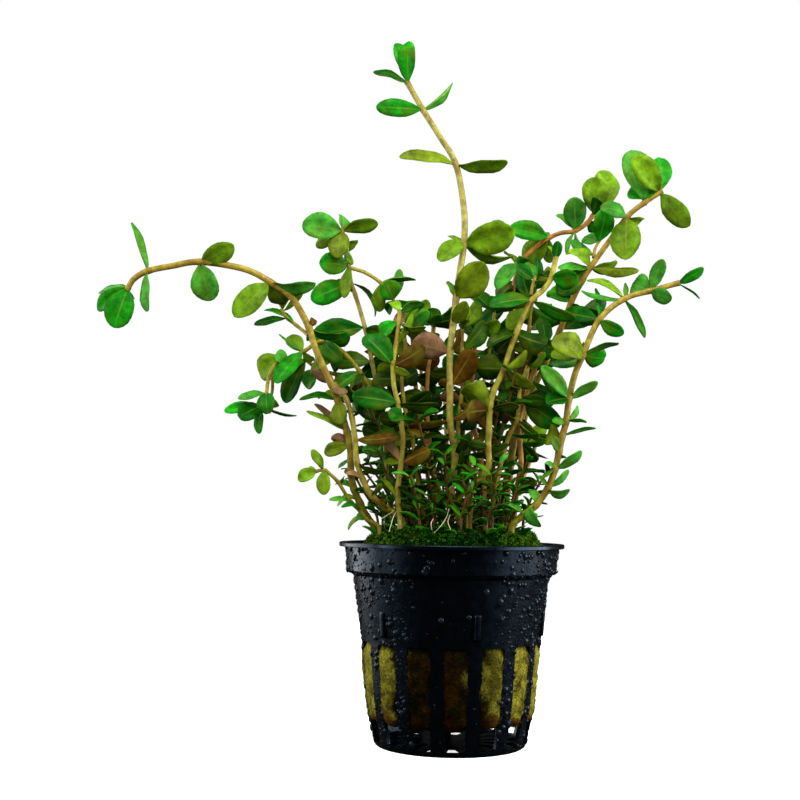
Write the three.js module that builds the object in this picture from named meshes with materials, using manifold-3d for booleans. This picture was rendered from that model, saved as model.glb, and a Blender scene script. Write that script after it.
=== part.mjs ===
// A potted aquarium stem plant, rotala rotundifolia, in a black net pot.
// Millimetres, +Z up. The origin is the middle of the pot's underside, and the front faces -Y.
import * as THREE from "three";
import { mergeVertices } from "three/addons/utils/BufferGeometryUtils.js";
import Module from "manifold-3d";

const wasm = await Module();
wasm.setup();

// Driving dimensions of the pot
const POT_HEIGHT = 49.4;
const LIP_RADIUS = 28;
const COLLAR_BOTTOM = 42.5;
const SLOT_COUNT = 15;
const SLOT_TOP = 25.5;
const FLOOR = 1;
const WALL = 0.95;
const FACETS = SLOT_COUNT * 3;
const FIRST_RIB = THREE.MathUtils.degToRad(13.3);
const GAP = 0.35;

// Outer wall of the pot from the foot to the underside of the collar: radius, height
const WALL_OUTSIDE = [
  [18.1, 0], [18.8, 0.9], [20.7, 10.6], [22.1, SLOT_TOP], [24.2, COLLAR_BOTTOM - 1.2],
];
const COLLAR = [[26, COLLAR_BOTTOM], [26.4, POT_HEIGHT - 1.1]];
const LIP_THICK = 1.2;
const LIP_TAPER = 0.2;
const COLLAR_SHELF = 0.7;
const FLOOR_DISC_RADIUS = 8;
const FLOOR_RING_RADIUS = 16.6;
const SPOKE_WIDTH = 1.8;
const SLOT_WIDTH_TOP = 5.9;
const SLOT_WIDTH_FOOT = 4.6;
const SLOT_FOOT = FLOOR + 0.25;
const SLOT_CUT = { near: 15, far: 30 };
const LUG_COUNT = 6;
const LUG = { width: 1.5, low: 27.2, high: 33.4, near: 22.2, far: 23.7 };

// Driving dimensions of what fills the pot
const WOOL_BOTTOM = 6.6;
const WOOL_TOP = 45;
const WOOL_LEVELS = [WOOL_BOTTOM, 10.6, SLOT_TOP - 2.4, SLOT_TOP - 0.5, COLLAR_BOTTOM - 1.4];
const WOOL_NECK = [[0.5, COLLAR_BOTTOM + 1.2], [0.4, WOOL_TOP]];
const MOSS_PROFILE = [[0, 53], [10, 52.9], [16, 52.6], [19.5, 51.7], [21.2, 50], [22.1, 46]];
const MOSS_SPAN = 21;
const WOOL_BULGE = 0.7;
// Waves of the moss: how many round it, their turn for each millimetre outwards, and their height
const MOSS_WAVES = [[5, 0.7, 0.45], [9, -0.5, 0.3]];
const MOSS_CALM = 9;
const SOCKET_DEPTH = 2.6;
const GROUND_LINE = 512;

// Driving dimensions of the plant
const STEM_SIDES = 4;
const LEAF_THICK = 0.62;
const LEAF_KEEP = 1.75;
const STEM_KEEP = 1.15;
const OWN_KEEP = 0.75;
const PAIR_ARCH = 0.08;
const PAIR_START = new THREE.Vector3(0.31, -0.95, 0);
const PAIR_JITTER = THREE.MathUtils.degToRad(30);

// The front view that the shoots are laid out in: quarter millimetres across and down from the
// view's corner, seen from the eye point, with the depth behind the pot's axis in millimetres
const EYE = new THREE.Vector3(-13.34, -324.4, 58);
const VIEW_TILT = THREE.MathUtils.degToRad(4.76);
const VIEW_ROLL = THREE.MathUtils.degToRad(0.75);
const VIEW_MIDDLE = 400;
const VIEW_REACH = 1291;

const MATERIALS = {
  plastic: new THREE.MeshStandardMaterial({ color: 0x141618, roughness: 0.38, metalness: 0 }),
  wool: new THREE.MeshStandardMaterial({ color: 0x6b5f2a, roughness: 0.95, metalness: 0 }),
  moss: new THREE.MeshStandardMaterial({ color: 0x3f6b22, roughness: 0.9, metalness: 0 }),
  leaf: new THREE.MeshStandardMaterial({ color: 0x4c9a1e, roughness: 0.5, metalness: 0 }),
};

function sight(across, down, deep) {
  const forward = new THREE.Vector3(0, Math.cos(VIEW_TILT), Math.sin(VIEW_TILT));
  const level = new THREE.Vector3(1, 0, 0);
  const rise = new THREE.Vector3(0, -Math.sin(VIEW_TILT), Math.cos(VIEW_TILT));
  const [lean, stand] = [Math.sin(VIEW_ROLL), Math.cos(VIEW_ROLL)];
  const right = level.clone().multiplyScalar(stand).addScaledVector(rise, lean);
  const up = rise.clone().multiplyScalar(stand).addScaledVector(level, -lean);
  const ray = forward.addScaledVector(right, (across - VIEW_MIDDLE) / VIEW_REACH);
  ray.addScaledVector(up, (VIEW_MIDDLE - down) / VIEW_REACH);
  return EYE.clone().addScaledVector(ray, (deep - EYE.y) / ray.y);
}

// The shoots. A leaf: its route point, the tip's place across and down, the tip's depth past the
// route, its width, its turn from broadside in degrees, and its arch as a share of its length
const SHOOTS = [
  {
    name: "shoot_tall",
    radius: .78,
    route: [
      [462, 527, -8], [455, 507, -8], [451, 491, -8], [453, 473, -8], [455, 455, -8], [453, 440, -8.5],
      [450, 421, -9], [450, 387, -9], [450, 353, -9], [453, 325, -8.5], [456, 299, -8], [460, 271, -7],
      [464, 243, -6], [464, 210, -5], [456, 165, -4], [440, 137, -3.5], [423, 110, -3],
      [407, 82, -2.5],
    ],
    leaves: [
      [17, 409, 41, -2, 4.9, -22, .06], [17, 397, 43, 2, 4.6, 28, .06], [17, 373, 72, -2, 4, 64, .1],
      [16, 376, 107, -3, 4.8, 18, .03], [16, 453, 83, 2, 4.2, 72, .03],
      [14, 399, 157, -4, 4.6, 52, .02], [14, 508, 162, -4, 5.2, 50, .02],
      [12, 515, 231, -4, 8.2, 12, .05], [12, 506, 226, 3, 7.2, 30, .04],
      [12, 438, 260, -3, 4.9, 20, .05], [12, 448, 236, 2, 2.6, 70, .05],
      [12, 513, 257, 4, 4.6, 60, .1], [12, 492, 251, 6, 4, 66, .1], [10, 484, 262, -5, 7.8, 12, .05],
      [10, 448, 281, 1, 3.6, 62, .06], [9, 466, 301, -4, 3.8, 10, .05],
      [8, 412, 342, -3, 6.9, 168, .06], [8, 459, 330, -2, 2.6, 60, .05],
      [8, 442, 352, 3, 2.6, 60, .05], [7, 473, 350, -4, 6, 165, .05], [7, 438, 384, 1, 3.4, 130, .05],
      [6, 408, 426, -4, 3.6, 130, -.1], [6, 479, 400, -3, 3.6, 130, .06],
      [5, 421, 438, -3, 3.6, 70, .12], [4, 469, 433, -4, 2.9, 30, .05], [3, 462, 450, -3, 2.4, 60, .1],
      [2, 437, 503, -4, 2.6, 60, .08], [2, 466, 505, -3, 2.2, 60, .1],
    ],
  },
  {
    name: "shoot_left_arch",
    radius: .92,
    route: [
      [374, 527, -4], [367, 517, -5], [360, 503, -6], [354, 489, -7], [351, 474, -8], [351, 460, -9],
      [350, 446, -9.5], [347, 432, -10], [338, 401, -11], [331, 384, -12.5], [316, 350, -12.5],
      [309, 328, -12], [292, 298, -11.5], [270, 282, -11], [244, 269, -10], [200, 262, -8.5],
      [172, 266, -7.5], [148, 271, -6.5], [134, 279, -6], [127, 290, -5.5],
    ],
    leaves: [
      [19, 114, 328, -1, 7.3, 12, .06], [19, 97, 310, 2, 4.4, 30, .02], [19, 99, 292, 3, 3.6, 60, .02],
      [19, 134, 299, 3, 2.6, 60, .1], [17, 132, 222, 1, 3.4, 60, -.03],
      [17, 147, 312, -2, 3.7, 52, .05], [15, 234, 245, -3, 5.5, 14, .06],
      [15, 211, 301, 2, 6.9, 12, .05], [13, 234, 317, -4, 6.2, 14, .06],
      [13, 316, 283, -3, 4.8, 50, .12], [13, 285, 304, 4, 5.4, 20, .05], [11, 313, 318, 1, 2, 20, .3],
      [11, 344, 333, 3, 3.8, 62, .1], [9, 311, 371, 1, 2.6, 150, .06],
      [9, 347, 393, -2, 2.8, 140, .05], [8, 299, 400, 2, 3.4, 62, .1], [8, 342, 424, -3, 5, 30, .05],
      [7, 306, 411, -2, 2.6, 62, .04], [7, 314, 404, 3, 2.4, 130, .04],
      [6, 331, 437, -2, 3.1, 150, .08], [6, 324, 453, 1, 3.6, 14, .08], [5, 338, 468, 1, 1.8, 60, .05],
      [4, 345, 473, -3, 2, 60, .1], [3, 335, 484, 2, 2.4, 60, .1], [2, 337, 506, -2, 2.2, 62, .3],
      [1, 348, 530, 1, 2.2, 62, .15], [1, 357, 519, -3, 2.6, 40, .1],
    ],
  },
  {
    name: "shoot_left_twig",
    radius: .5,
    route: [
      [308.5, 335.2, -10.8], [296, 325, -8], [287, 318, -7.5], [281, 309, -7],
    ],
    leaves: [
      [3, 303, 288, -2, 2.4, 48, .06], [3, 277, 290, 3, 4.4, 20, .05], [2, 254, 325, -2, 2.8, 48, .05],
      [1, 264, 310, 2, 2.6, 60, .1], [0, 316, 336, 3, 3.4, 50, .1],
    ],
  },
  {
    name: "shoot_left_second",
    radius: .8,
    route: [
      [402, 520, -9.5], [386, 508, -11], [372, 496, -13], [363, 480, -13], [357, 462, -12.8],
      [355, 440, -12.5], [352, 418, -12], [346, 399, -8.5], [334, 384, -6],
    ],
    leaves: [
      [8, 318, 372, 1, 2.8, 150, .05], [7, 318, 398, 2, 3.2, 60, .1], [6, 362, 392, -3, 3.2, 60, .1],
      [5, 398, 437, -4, 3.4, 150, .05], [5, 360, 449, 3, 2.4, 62, .08], [4, 385, 471, -3, 2.8, 62, .1],
      [3, 346, 473, -2, 2.4, 62, .1], [2, 380, 484, -3, 2.8, 60, .05], [1, 379, 501, -4, 2.2, 60, .1],
    ],
  },
  {
    name: "shoot_left_low",
    radius: .5,
    route: [
      [379, 527, -9], [368, 520, -9.5], [361, 512, -10], [352, 503, -10.5], [345, 493, -11],
      [338, 482, -11.5], [331, 475, -12], [324, 470, -12], [314, 472, -12],
    ],
    leaves: [
      [8, 298, 480, -1, 3.4, 20, .05], [8, 305, 471, 2, 1.8, 50, .05], [7, 324, 495, -2, 3.5, 10, .05],
      [7, 311, 450, -2, 3, 44, .05], [5, 344, 477, 2, 1.8, 60, .05], [3, 329, 500, -2, 2.2, 60, .1],
      [2, 341, 507, -3, 2, 60, .2],
    ],
  },
  {
    name: "shoot_left_upper",
    radius: .64,
    route: [
      [407, 521, 3], [399, 480, 3], [389, 440, 3], [380, 400, 3.5], [372, 362, 4], [365, 328, 4],
      [355, 294, 4], [351, 283, 4], [349, 266, 4], [346, 243, 3.5], [341, 228, 3],
    ],
    leaves: [
      [10, 302, 225, -3, 7, 14, .05], [10, 378, 223, -3, 4.6, 34, -.14],
      [10, 343, 216, 3, 4.4, 40, .05], [10, 337, 258, -4, 5.5, 12, .06],
      [10, 316, 247, 2, 3.6, 20, .05], [9, 356, 245, 3, 3.8, 30, .05], [9, 353, 264, -6, 3, 56, .05],
      [8, 319, 263, -3, 6, 16, .05], [8, 345, 298, -4, 4, 40, .06], [7, 311, 300, -3, 6.2, 14, .06],
      [7, 375, 317, -2, 2.4, 58, -.3], [6, 338, 279, 2, 3, 60, .05], [5, 309, 341, -5, 6.4, 24, .08],
      [5, 402, 337, -4, 6, 30, .08], [4, 331, 362, 3, 5.4, 30, .06], [4, 398, 358, 4, 6.4, 30, .1],
      [3, 350, 384, -3, 5.6, 24, .05], [3, 412, 395, 4, 5, 40, .05], [2, 362, 428, -4, 6, 20, .06],
      [2, 418, 440, 4, 5, 40, .06], [1, 376, 488, -2, 3.2, 50, .06],
    ],
  },
  {
    name: "shoot_left_upper_branch",
    radius: .5,
    route: [
      [352, 268.2, 3.1], [366, 273, 1.5], [381, 283, 1], [389, 293, 1], [395, 303, 1],
    ],
    leaves: [
      [4, 385, 281, -3, 5.8, 14, .1], [2, 379, 312, 2, 3.9, 20, .06], [4, 400, 269, 2, 2.9, 24, .05],
      [2, 416, 280, -3, 2.2, 62, -.14], [4, 425, 304, -3, 4, 48, .1], [4, 388, 314, 3, 3, 40, .05],
    ],
  },
  {
    name: "shoot_left_cluster",
    radius: .6,
    route: [
      [393, 522, 0], [388, 490, 0], [386, 455, 0], [381, 420, 0], [371, 392, -.5], [360, 372, -1],
      [344, 353, -1], [323, 341, -1.5], [303, 352, -2], [288, 359, -3], [276, 364, -4], [269, 377, -5],
      [266, 396, -6],
    ],
    leaves: [
      [12, 238, 399, -2, 2.9, 48, .04], [12, 278, 407, 2, 3, 40, .1], [12, 268, 414, -3, 4.6, 14, .1],
      [9, 259, 373, 4, 6.9, 14, .04], [9, 275, 358, -2, 4, 30, .05], [8, 289, 336, 3, 4.2, 16, .05],
      [8, 275, 383, -4, 4.6, 24, .06], [8, 279, 334, -3, 1.4, 66, -.05],
      [8, 313, 361, 3, 2.6, 30, .05], [7, 343, 361, -4, 4.8, 24, .06], [7, 350, 336, 3, 5.6, 40, .05],
      [6, 310, 373, 4, 4, 40, .06], [5, 332, 392, -4, 4, 30, .06], [4, 392, 400, -6, 5.6, 14, .06],
      [3, 356, 402, 2, 5.2, 20, .06], [2, 362, 450, -2, 3.6, 30, .06],
    ],
  },
  {
    name: "shoot_left_cluster_twig",
    radius: .45,
    route: [
      [272.6, 375.2, -3.7], [272, 392, -1.5], [268, 402, -2], [262, 406, -2.5], [258, 407, -3],
    ],
    leaves: [
      [4, 224, 411, -1, 3, 20, .06], [4, 239, 418, -4, 5.2, 20, .1], [4, 259, 434, -2, 2.7, 30, .05],
      [3, 297, 416, 2, 1.3, 66, .05],
    ],
  },
  {
    name: "shoot_left_rear",
    radius: .6,
    route: [
      [413, 520, 8], [405, 470, 8], [392, 430, 8], [374, 398, 8], [355, 377, 7], [335, 374, 6],
      [318, 369, 5], [304, 358, 4.5],
    ],
    leaves: [
      [7, 285, 403, -3, 5.2, 24, .06], [7, 280, 372, 3, 4.6, 40, .05], [6, 322, 333, 3, 5, 20, .05],
      [6, 306, 388, 2, 4.8, 30, .06], [5, 330, 345, 3, 5.6, 30, .06], [5, 356, 402, 5, 5.2, 30, .06],
      [4, 390, 352, 4, 6, 30, .06], [3, 352, 407, 5, 5, 30, .06], [2, 420, 410, 5, 5.6, 30, .05],
    ],
  },
  {
    name: "shoot_front_left",
    radius: .68,
    route: [
      [400, 518, -13], [398, 503, -13], [398, 487, -13], [401, 464, -13], [403, 440, -13],
      [401, 422, -12.5], [398, 403, -12], [394, 386, -11.5], [393, 366, -11], [396, 345, -10],
      [399, 322, -9], [400, 310, -8.5],
    ],
    leaves: [
      [11, 421, 302, -3, 3.2, 44, -.1], [11, 390, 302, 2, 3, 40, .05],
      [10, 426, 327, -3, 2.6, 62, .12], [10, 380, 339, 3, 4.6, 40, .05],
      [9, 413, 313, 3, 2.4, 40, .05], [8, 425, 347, -4, 5.6, 160, .06],
      [8, 410, 374, -3, 2.4, 40, .08], [8, 378, 372, 2, 3, 140, .06], [8, 364, 336, 3, 6.4, 30, .06],
      [6, 352, 396, -4, 5.6, 14, .06], [6, 440, 405, -3, 3.6, 44, .08],
      [5, 380, 419, 3, 4.4, 150, .06], [5, 388, 411, -3, 4, 30, .05], [4, 377, 432, 2, 3.2, 62, .06],
      [3, 378, 436, -3, 3, 140, .05], [3, 430, 450, -3, 4, 150, -.06], [3, 384, 461, 3, 2.8, 50, .06],
      [2, 408, 487, -2, 2.4, 50, .06], [2, 425, 503, -3, 1.8, 62, .05], [1, 380, 478, 2, 2.4, 60, .05],
      [1, 415, 508, -3, 1.8, 62, .06],
    ],
  },
  {
    name: "shoot_middle_left",
    radius: .6,
    route: [
      [425, 522, -5], [420, 495, -5], [416, 466, -5], [412, 436, -5], [405, 408, -4.5], [402, 380, -4],
      [406, 352, -3.5], [403, 328, -3],
    ],
    leaves: [
      [7, 440, 335, -4, 3.8, 44, .12], [7, 429, 311, -4, 3.8, 16, .05], [7, 415, 300, 3, 3.6, 40, .06],
      [6, 440, 361, 3, 6.6, 160, .06], [5, 418, 372, -3, 5.6, 160, .05], [5, 372, 380, 3, 5, 30, .06],
      [4, 430, 392, -3, 5, 40, .06], [3, 395, 445, 2, 4.4, 40, .05], [2, 430, 445, -2, 4, 150, .06],
    ],
    pairs: [3, .1, 7, 3.4, 20],
  },
  {
    name: "shoot_middle_rust",
    radius: .6,
    route: [
      [452, 523, -3], [449, 509, -3], [441, 494, -3], [433, 471, -3], [430, 445, -3], [428, 425, -3],
      [427, 400, -3], [428, 372, -2.5], [432, 345, -2], [434, 322, -2],
    ],
    leaves: [
      [9, 430, 308, -3, 4.8, 20, .05], [9, 455, 308, 2, 5, 40, .06], [9, 421, 316, -2, 3.4, 20, .05],
      [9, 452, 322, -4, 4, 60, .06], [8, 410, 330, 3, 5, 40, .05], [7, 455, 375, 3, 5, 30, .05],
      [6, 402, 395, 3, 4.6, 40, .06], [5, 445, 440, 3, 4, 40, .06],
    ],
    pairs: [3, .12, 7, 3.2, 70],
  },
  {
    name: "shoot_middle_olive",
    radius: .6,
    route: [
      [433, 522, 3], [428, 480, 3], [425, 440, 3], [419, 410, 3], [415, 380, 3], [413, 350, 3],
      [411, 318, 3.5],
    ],
    leaves: [
      [6, 428, 300, -2, 4.2, 30, .06], [6, 394, 318, 2, 4, 30, .06], [5, 437, 345, 3, 5, 40, .05],
      [5, 390, 350, -2, 5, 30, .06], [4, 440, 375, 2, 5.2, 30, .05], [4, 388, 383, 2, 5, 30, .06],
      [3, 442, 400, 3, 5, 30, .06],
    ],
    pairs: [4, .12, 8, 4, 10],
  },
  {
    name: "shoot_heart",
    radius: .6,
    route: [
      [476, 518, -3], [468, 490, -3], [460, 455, -4], [458, 430, -4.5], [461, 400, -5], [463, 380, -5],
      [462, 350, -5], [462, 325, -5],
    ],
    leaves: [
      [7, 463, 302, -2, 3.7, 12, .05], [7, 443, 350, -4, 2.2, 44, .05], [7, 480, 303, 3, 4.2, 20, .06],
      [6, 486, 322, 3, 5.2, 30, .06], [5, 486, 402, -4, 6.2, 170, .05], [4, 440, 398, 3, 4, 140, .06],
      [3, 478, 412, 3, 4.4, 40, .06], [2, 435, 452, 3, 4, 40, .06], [2, 485, 452, -2, 3.4, 60, .05],
    ],
    pairs: [3, .1, 7, 3, 40],
  },
  {
    name: "shoot_heart_fork",
    radius: .5,
    route: [
      [470, 515, 5], [468, 480, 5], [470, 445, 5], [478, 410, 5], [486, 370, 4], [492, 334, 3],
      [495, 310, 2.5],
    ],
    leaves: [
      [6, 489, 296, -2, 3.4, 30, .06], [6, 512, 288, -3, 3.6, 50, -.08], [6, 470, 292, 3, 5, 40, .05],
      [6, 522, 300, -2, 3.4, 60, .05], [5, 520, 322, 3, 6.4, 20, .05], [5, 462, 325, 3, 5.6, 30, .06],
      [4, 455, 365, 3, 5.8, 40, .06], [4, 515, 352, 3, 5.6, 30, .05], [3, 445, 395, 3, 5, 40, .05],
      [3, 505, 402, -2, 5, 40, .05],
    ],
    pairs: [3, .1, 8, 3.6, 0],
  },
  {
    name: "shoot_front_right",
    radius: .8,
    route: [
      [469, 525, -13], [470, 508, -13], [471, 489, -13], [477, 481, -13], [484, 474, -13],
      [489, 463, -13], [488, 447, -13], [489, 432, -13], [490, 410, -12.5], [494, 391, -12],
      [504, 369, -11.5], [510, 350, -11], [516, 334, -10.5], [524, 315, -10], [532, 300, -9.5],
      [543, 290, -9], [551, 278, -8.5], [556, 257, -8],
    ],
    leaves: [
      [17, 558, 241, -1, 2.6, 14, .05], [17, 548, 246, 2, 2.2, 60, .05],
      [16, 541, 275, 2, 2.8, 60, .05], [16, 578, 276, -3, 5.8, 30, .06],
      [14, 489, 306, -4, 5, 44, .06], [14, 522, 271, 3, 5, 30, -.1], [14, 576, 319, -3, 4.2, 44, .05],
      [12, 487, 347, -4, 3.6, 50, .08], [12, 496, 352, 3, 5.4, 160, .05],
      [12, 546, 345, -4, 6.2, 160, .05], [10, 527, 351, -4, 3.2, 140, .05],
      [10, 476, 368, 4, 6.6, 170, .05], [10, 532, 388, 3, 4, 40, .06], [8, 466, 385, -4, 6, 165, .05],
      [8, 466, 413, -3, 5.6, 165, .05], [8, 519, 405, -4, 3.4, 44, -.06],
      [7, 460, 404, 3, 3.6, 140, .05], [6, 468, 443, -3, 3, 150, -.1], [6, 508, 445, 3, 3, 50, .05],
      [4, 463, 465, -3, 2.4, 60, -.1], [3, 462, 472, -3, 2, 60, .06], [3, 496, 484, -2, 2, 60, .05],
      [2, 458, 502, -3, 2, 60, .05], [1, 483, 500, 2, 2, 60, .05],
    ],
  },
  {
    name: "shoot_front_right_twig",
    radius: .45,
    route: [
      [531.1, 295, -8.7], [532, 288, -8.5], [534, 281, -8.5], [535, 276, -8.5],
    ],
    leaves: [
      [3, 516, 266, -2, 3.8, 34, -.12], [3, 528, 262, 3, 3.2, 40, .05],
      [2, 545, 281, -2, 1.8, 60, .05],
    ],
  },
  {
    name: "shoot_right_slim",
    radius: .6,
    route: [
      [490, 519, -8], [492, 505, -8], [496, 493, -8], [499, 473, -8], [504, 452, -8], [510, 434, -8],
      [517, 420, -8], [519, 400, -8], [521, 385, -8], [528, 366, -8],
    ],
    leaves: [
      [9, 545, 352, 3, 3.6, 60, .05], [9, 532, 346, -2, 3, 50, .05], [8, 505, 383, -2, 4, 30, .06],
      [7, 541, 391, 2, 3, 40, .06], [7, 546, 401, -3, 3.4, 14, .05], [6, 540, 436, -2, 2, 60, -.08],
      [6, 494, 402, 3, 4, 140, .06], [5, 541, 434, -2, 2, 60, .05], [4, 494, 456, -2, 2, 50, .05],
      [3, 521, 470, 2, 2.4, 60, .05], [2, 516, 477, -2, 2, 60, .06], [1, 517, 500, -2, 2.2, 60, .08],
    ],
  },
  {
    name: "shoot_right_rust",
    radius: .68,
    route: [
      [514, 519, -4], [517, 488, -4], [521, 463, -4], [520, 442, -4], [519, 422, -4.5], [525, 400, -4],
      [531, 380, -4], [538, 360, -4], [546, 342, -4],
    ],
    leaves: [
      [8, 570, 334, 3, 4, 40, .05], [8, 556, 348, -3, 6.4, 24, .06], [8, 541, 318, 2, 5, 40, .06],
      [7, 561, 398, -4, 3.4, 40, .05], [7, 513, 363, 3, 5, 30, .06], [6, 566, 392, 3, 4, 60, .05],
      [5, 561, 425, -4, 6.2, 16, .06], [5, 505, 412, 3, 5, 40, .06], [4, 546, 440, -2, 2.2, 60, .1],
      [3, 537, 462, 3, 3.6, 20, .05], [3, 548, 441, 2, 2.2, 60, .05], [2, 499, 471, 2, 3, 60, .06],
      [1, 535, 487, -2, 3, 50, .06], [1, 500, 488, 2, 2.4, 60, .05],
    ],
  },
  {
    name: "shoot_right_long",
    radius: .85,
    route: [
      [512, 526, -12], [524, 515, -12], [536, 505, -12], [548, 488, -12], [555, 469, -12],
      [559, 452, -12], [562, 437, -12], [566, 422, -12], [569, 399, -12], [575, 374, -12],
      [583, 355, -12], [599, 320, -11], [624, 299, -10], [650, 291, -9], [679, 283, -8],
    ],
    leaves: [
      [14, 704, 268, -1, 3, 30, .04], [14, 700, 299, 2, 1.2, 66, -.08],
      [13, 663, 259, -2, 3.8, 20, -.05], [13, 632, 284, 2, 6.4, 16, .05],
      [13, 672, 299, -3, 4.2, 24, .06], [12, 581, 291, -2, 2.6, 62, -.08],
      [12, 587, 280, 3, 3.2, 60, .08], [12, 645, 338, -3, 3, 50, -.14], [12, 626, 283, 2, 2, 50, .05],
      [11, 624, 334, -2, 3.7, 20, .06], [11, 563, 314, 2, 5, 30, .06], [11, 596, 288, 2, 2.2, 50, .04],
      [10, 619, 343, -3, 2.8, 60, -.06], [10, 605, 358, 3, 5.4, 24, .08],
      [10, 551, 357, -3, 5, 50, .06], [10, 551, 343, -4, 6.6, 30, .06],
      [8, 598, 382, -2, 3.2, 40, -.06], [8, 541, 366, -4, 3.8, 20, .05], [8, 546, 403, 3, 5, 50, .05],
      [7, 578, 406, 2, 2, 40, .1], [7, 587, 422, -2, 1.8, 60, -.15], [7, 552, 421, -3, 2.2, 30, .05],
      [6, 596, 428, -2, 1.8, 56, -.12], [6, 546, 437, 3, 5.6, 24, .05], [5, 565, 458, 2, 2.4, 50, .05],
      [5, 551, 438, -3, 3, 40, .05], [4, 582, 451, -2, 3, 40, .06], [4, 545, 463, -1, 1.8, 56, .05],
      [4, 542, 479, -3, 2, 60, .05], [3, 570, 490, -2, 2.6, 40, .4], [3, 569, 470, 2, 2.2, 40, .05],
      [3, 538, 476, -2, 2, 60, .05], [2, 541, 527, -3, 3.6, 44, .5], [2, 530, 489, 3, 3, 40, .06],
      [1, 537, 517, 2, 2.6, 20, .05], [1, 508, 505, -2, 2.4, 60, .05],
    ],
  },
  {
    name: "shoot_right_upper",
    radius: .85,
    route: [
      [501, 521, 7], [506, 480, 6.5], [514, 440, 6], [528, 402, 4], [545, 364, 1], [560, 330, -1],
      [571, 303, -2.5], [580, 285, -3.5], [590, 268, -4], [610, 240, -4.5], [627, 217, -5],
      [644, 203, -5], [662, 191, -5],
    ],
    leaves: [
      [12, 634, 156, -3, 6.4, 14, .05], [11, 631, 150, 3, 7.6, 14, .05],
      [12, 661, 158, 3, 5.2, 20, .04], [12, 690, 226, -3, 6, 24, .06], [12, 627, 194, 3, 5, 30, .06],
      [12, 646, 204, 4, 4, 56, .05], [10, 626, 260, -4, 7.7, 10, .05],
      [10, 600, 208, -4, 4.8, 40, .14], [10, 640, 223, 4, 4.4, 20, .05],
      [8, 639, 271, -4, 3.6, 134, .01], [8, 617, 264, 4, 4.6, 50, .06], [8, 558, 268, -3, 4, 60, -.05],
      [8, 569, 250, 3, 4.6, 50, .06], [8, 557, 293, -5, 6.6, 20, .05], [6, 604, 318, -3, 6.2, 46, .06],
      [6, 550, 290, 3, 6, 30, .06], [5, 606, 300, 4, 5.6, 30, .06], [5, 568, 348, 3, 6.2, 30, .06],
      [4, 585, 345, 4, 5.6, 40, .06], [4, 510, 345, 3, 5.6, 40, .06], [3, 560, 395, 4, 5, 40, .06],
      [3, 497, 385, 3, 5.6, 40, .05], [2, 548, 425, 4, 5, 40, .06],
    ],
  },
  {
    name: "shoot_right_upper_twig",
    radius: .45,
    route: [
      [593.8, 257.6, -3], [595, 249, -1.5], [600, 240, -1],
    ],
    leaves: [
      [2, 606, 208, -3, 5.4, 14, .06], [2, 583, 238, 3, 4.4, 40, .05], [0, 571, 240, 2, 3, 40, -.1],
      [0, 566, 253, 4, 3, 50, .05],
    ],
  },
  {
    name: "shoot_right_rear",
    radius: .7,
    route: [
      [482, 519, 10], [487, 480, 10], [494, 440, 10], [502, 400, 10], [508, 350, 9.5], [512, 300, 9],
      [515, 281, 8.5], [521, 262, 8], [535, 248, 8], [549, 238, 8], [561, 233, 8], [575, 231, 8],
      [587, 223, 8], [595, 212, 8],
    ],
    leaves: [
      [13, 594, 177, -2, 7, 12, .05], [13, 609, 171, 3, 7.6, 16, .05],
      [11, 574, 197, -4, 6.2, 14, .05], [12, 603, 226, 3, 5.6, 40, .05],
      [11, 557, 214, 2, 3.4, 50, .05], [11, 567, 254, -3, 2.6, 62, .05],
      [11, 590, 250, -2, 2.8, 60, .15], [9, 509, 228, -3, 5.4, 20, .05],
      [9, 524, 262, 4, 6.4, 16, .06], [9, 544, 232, 2, 1.6, 62, .05], [9, 549, 263, 3, 4.6, 40, .05],
      [7, 497, 290, -4, 5, 40, .06], [7, 540, 272, 4, 5, 40, .06], [6, 498, 300, 3, 5.6, 40, .06],
      [6, 535, 303, 3, 5.4, 40, .05], [5, 545, 325, 4, 6, 30, .06], [5, 480, 330, 3, 5.6, 40, .06],
      [4, 540, 370, 4, 5.4, 40, .06], [4, 470, 380, 3, 5.6, 40, .05],
    ],
    pairs: [3, .12, 8, 4, 30],
  },
  {
    name: "shoot_right_pink",
    radius: .6,
    route: [
      [503, 517, 2], [509, 490, 2], [514, 450, 1.5], [522, 410, 1], [527, 370, 0], [529, 331, 0],
      [531, 308, 0], [536, 285, .5],
    ],
    leaves: [
      [7, 551, 268, 2, 4, 40, .05], [7, 537, 258, -2, 3.6, 40, .05], [6, 557, 322, -3, 3.6, 150, .05],
      [6, 508, 330, 3, 5.4, 40, .05], [5, 552, 306, 2, 4.6, 40, .06], [5, 497, 350, 3, 5.6, 40, .06],
      [4, 562, 340, 4, 6, 30, .06], [4, 500, 372, 3, 5, 40, .06], [3, 498, 420, 3, 4.6, 150, .06],
    ],
    pairs: [3, .12, 7, 3.4, 60],
  },
  {
    name: "shoot_middle_thick",
    radius: .68,
    route: [
      [485, 523, -7], [484, 505, -7], [484, 485, -6], [480, 455, -3], [474, 425, 0], [472, 390, 1],
      [474, 355, 1], [478, 325, 1],
    ],
    leaves: [
      [7, 475, 298, 2, 4.6, 40, .05], [7, 500, 322, -2, 5.4, 40, .06], [6, 450, 345, 2, 5, 40, .06],
      [6, 505, 340, 3, 5.6, 40, .06], [5, 440, 372, 3, 5, 40, .06], [4, 505, 395, 3, 5, 40, .06],
    ],
    pairs: [3, .1, 7, 3.4, 20],
  },
  {
    name: "shoot_rear_left",
    radius: .6,
    route: [
      [423, 521, 13], [412, 480, 16], [400, 440, 19], [392, 400, 21], [388, 362, 22.5], [386, 338, 23],
    ],
    leaves: [],
    pairs: [6, .2, 10, 5.6, 10],
  },
  {
    name: "shoot_rear_middle_left",
    radius: .6,
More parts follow.
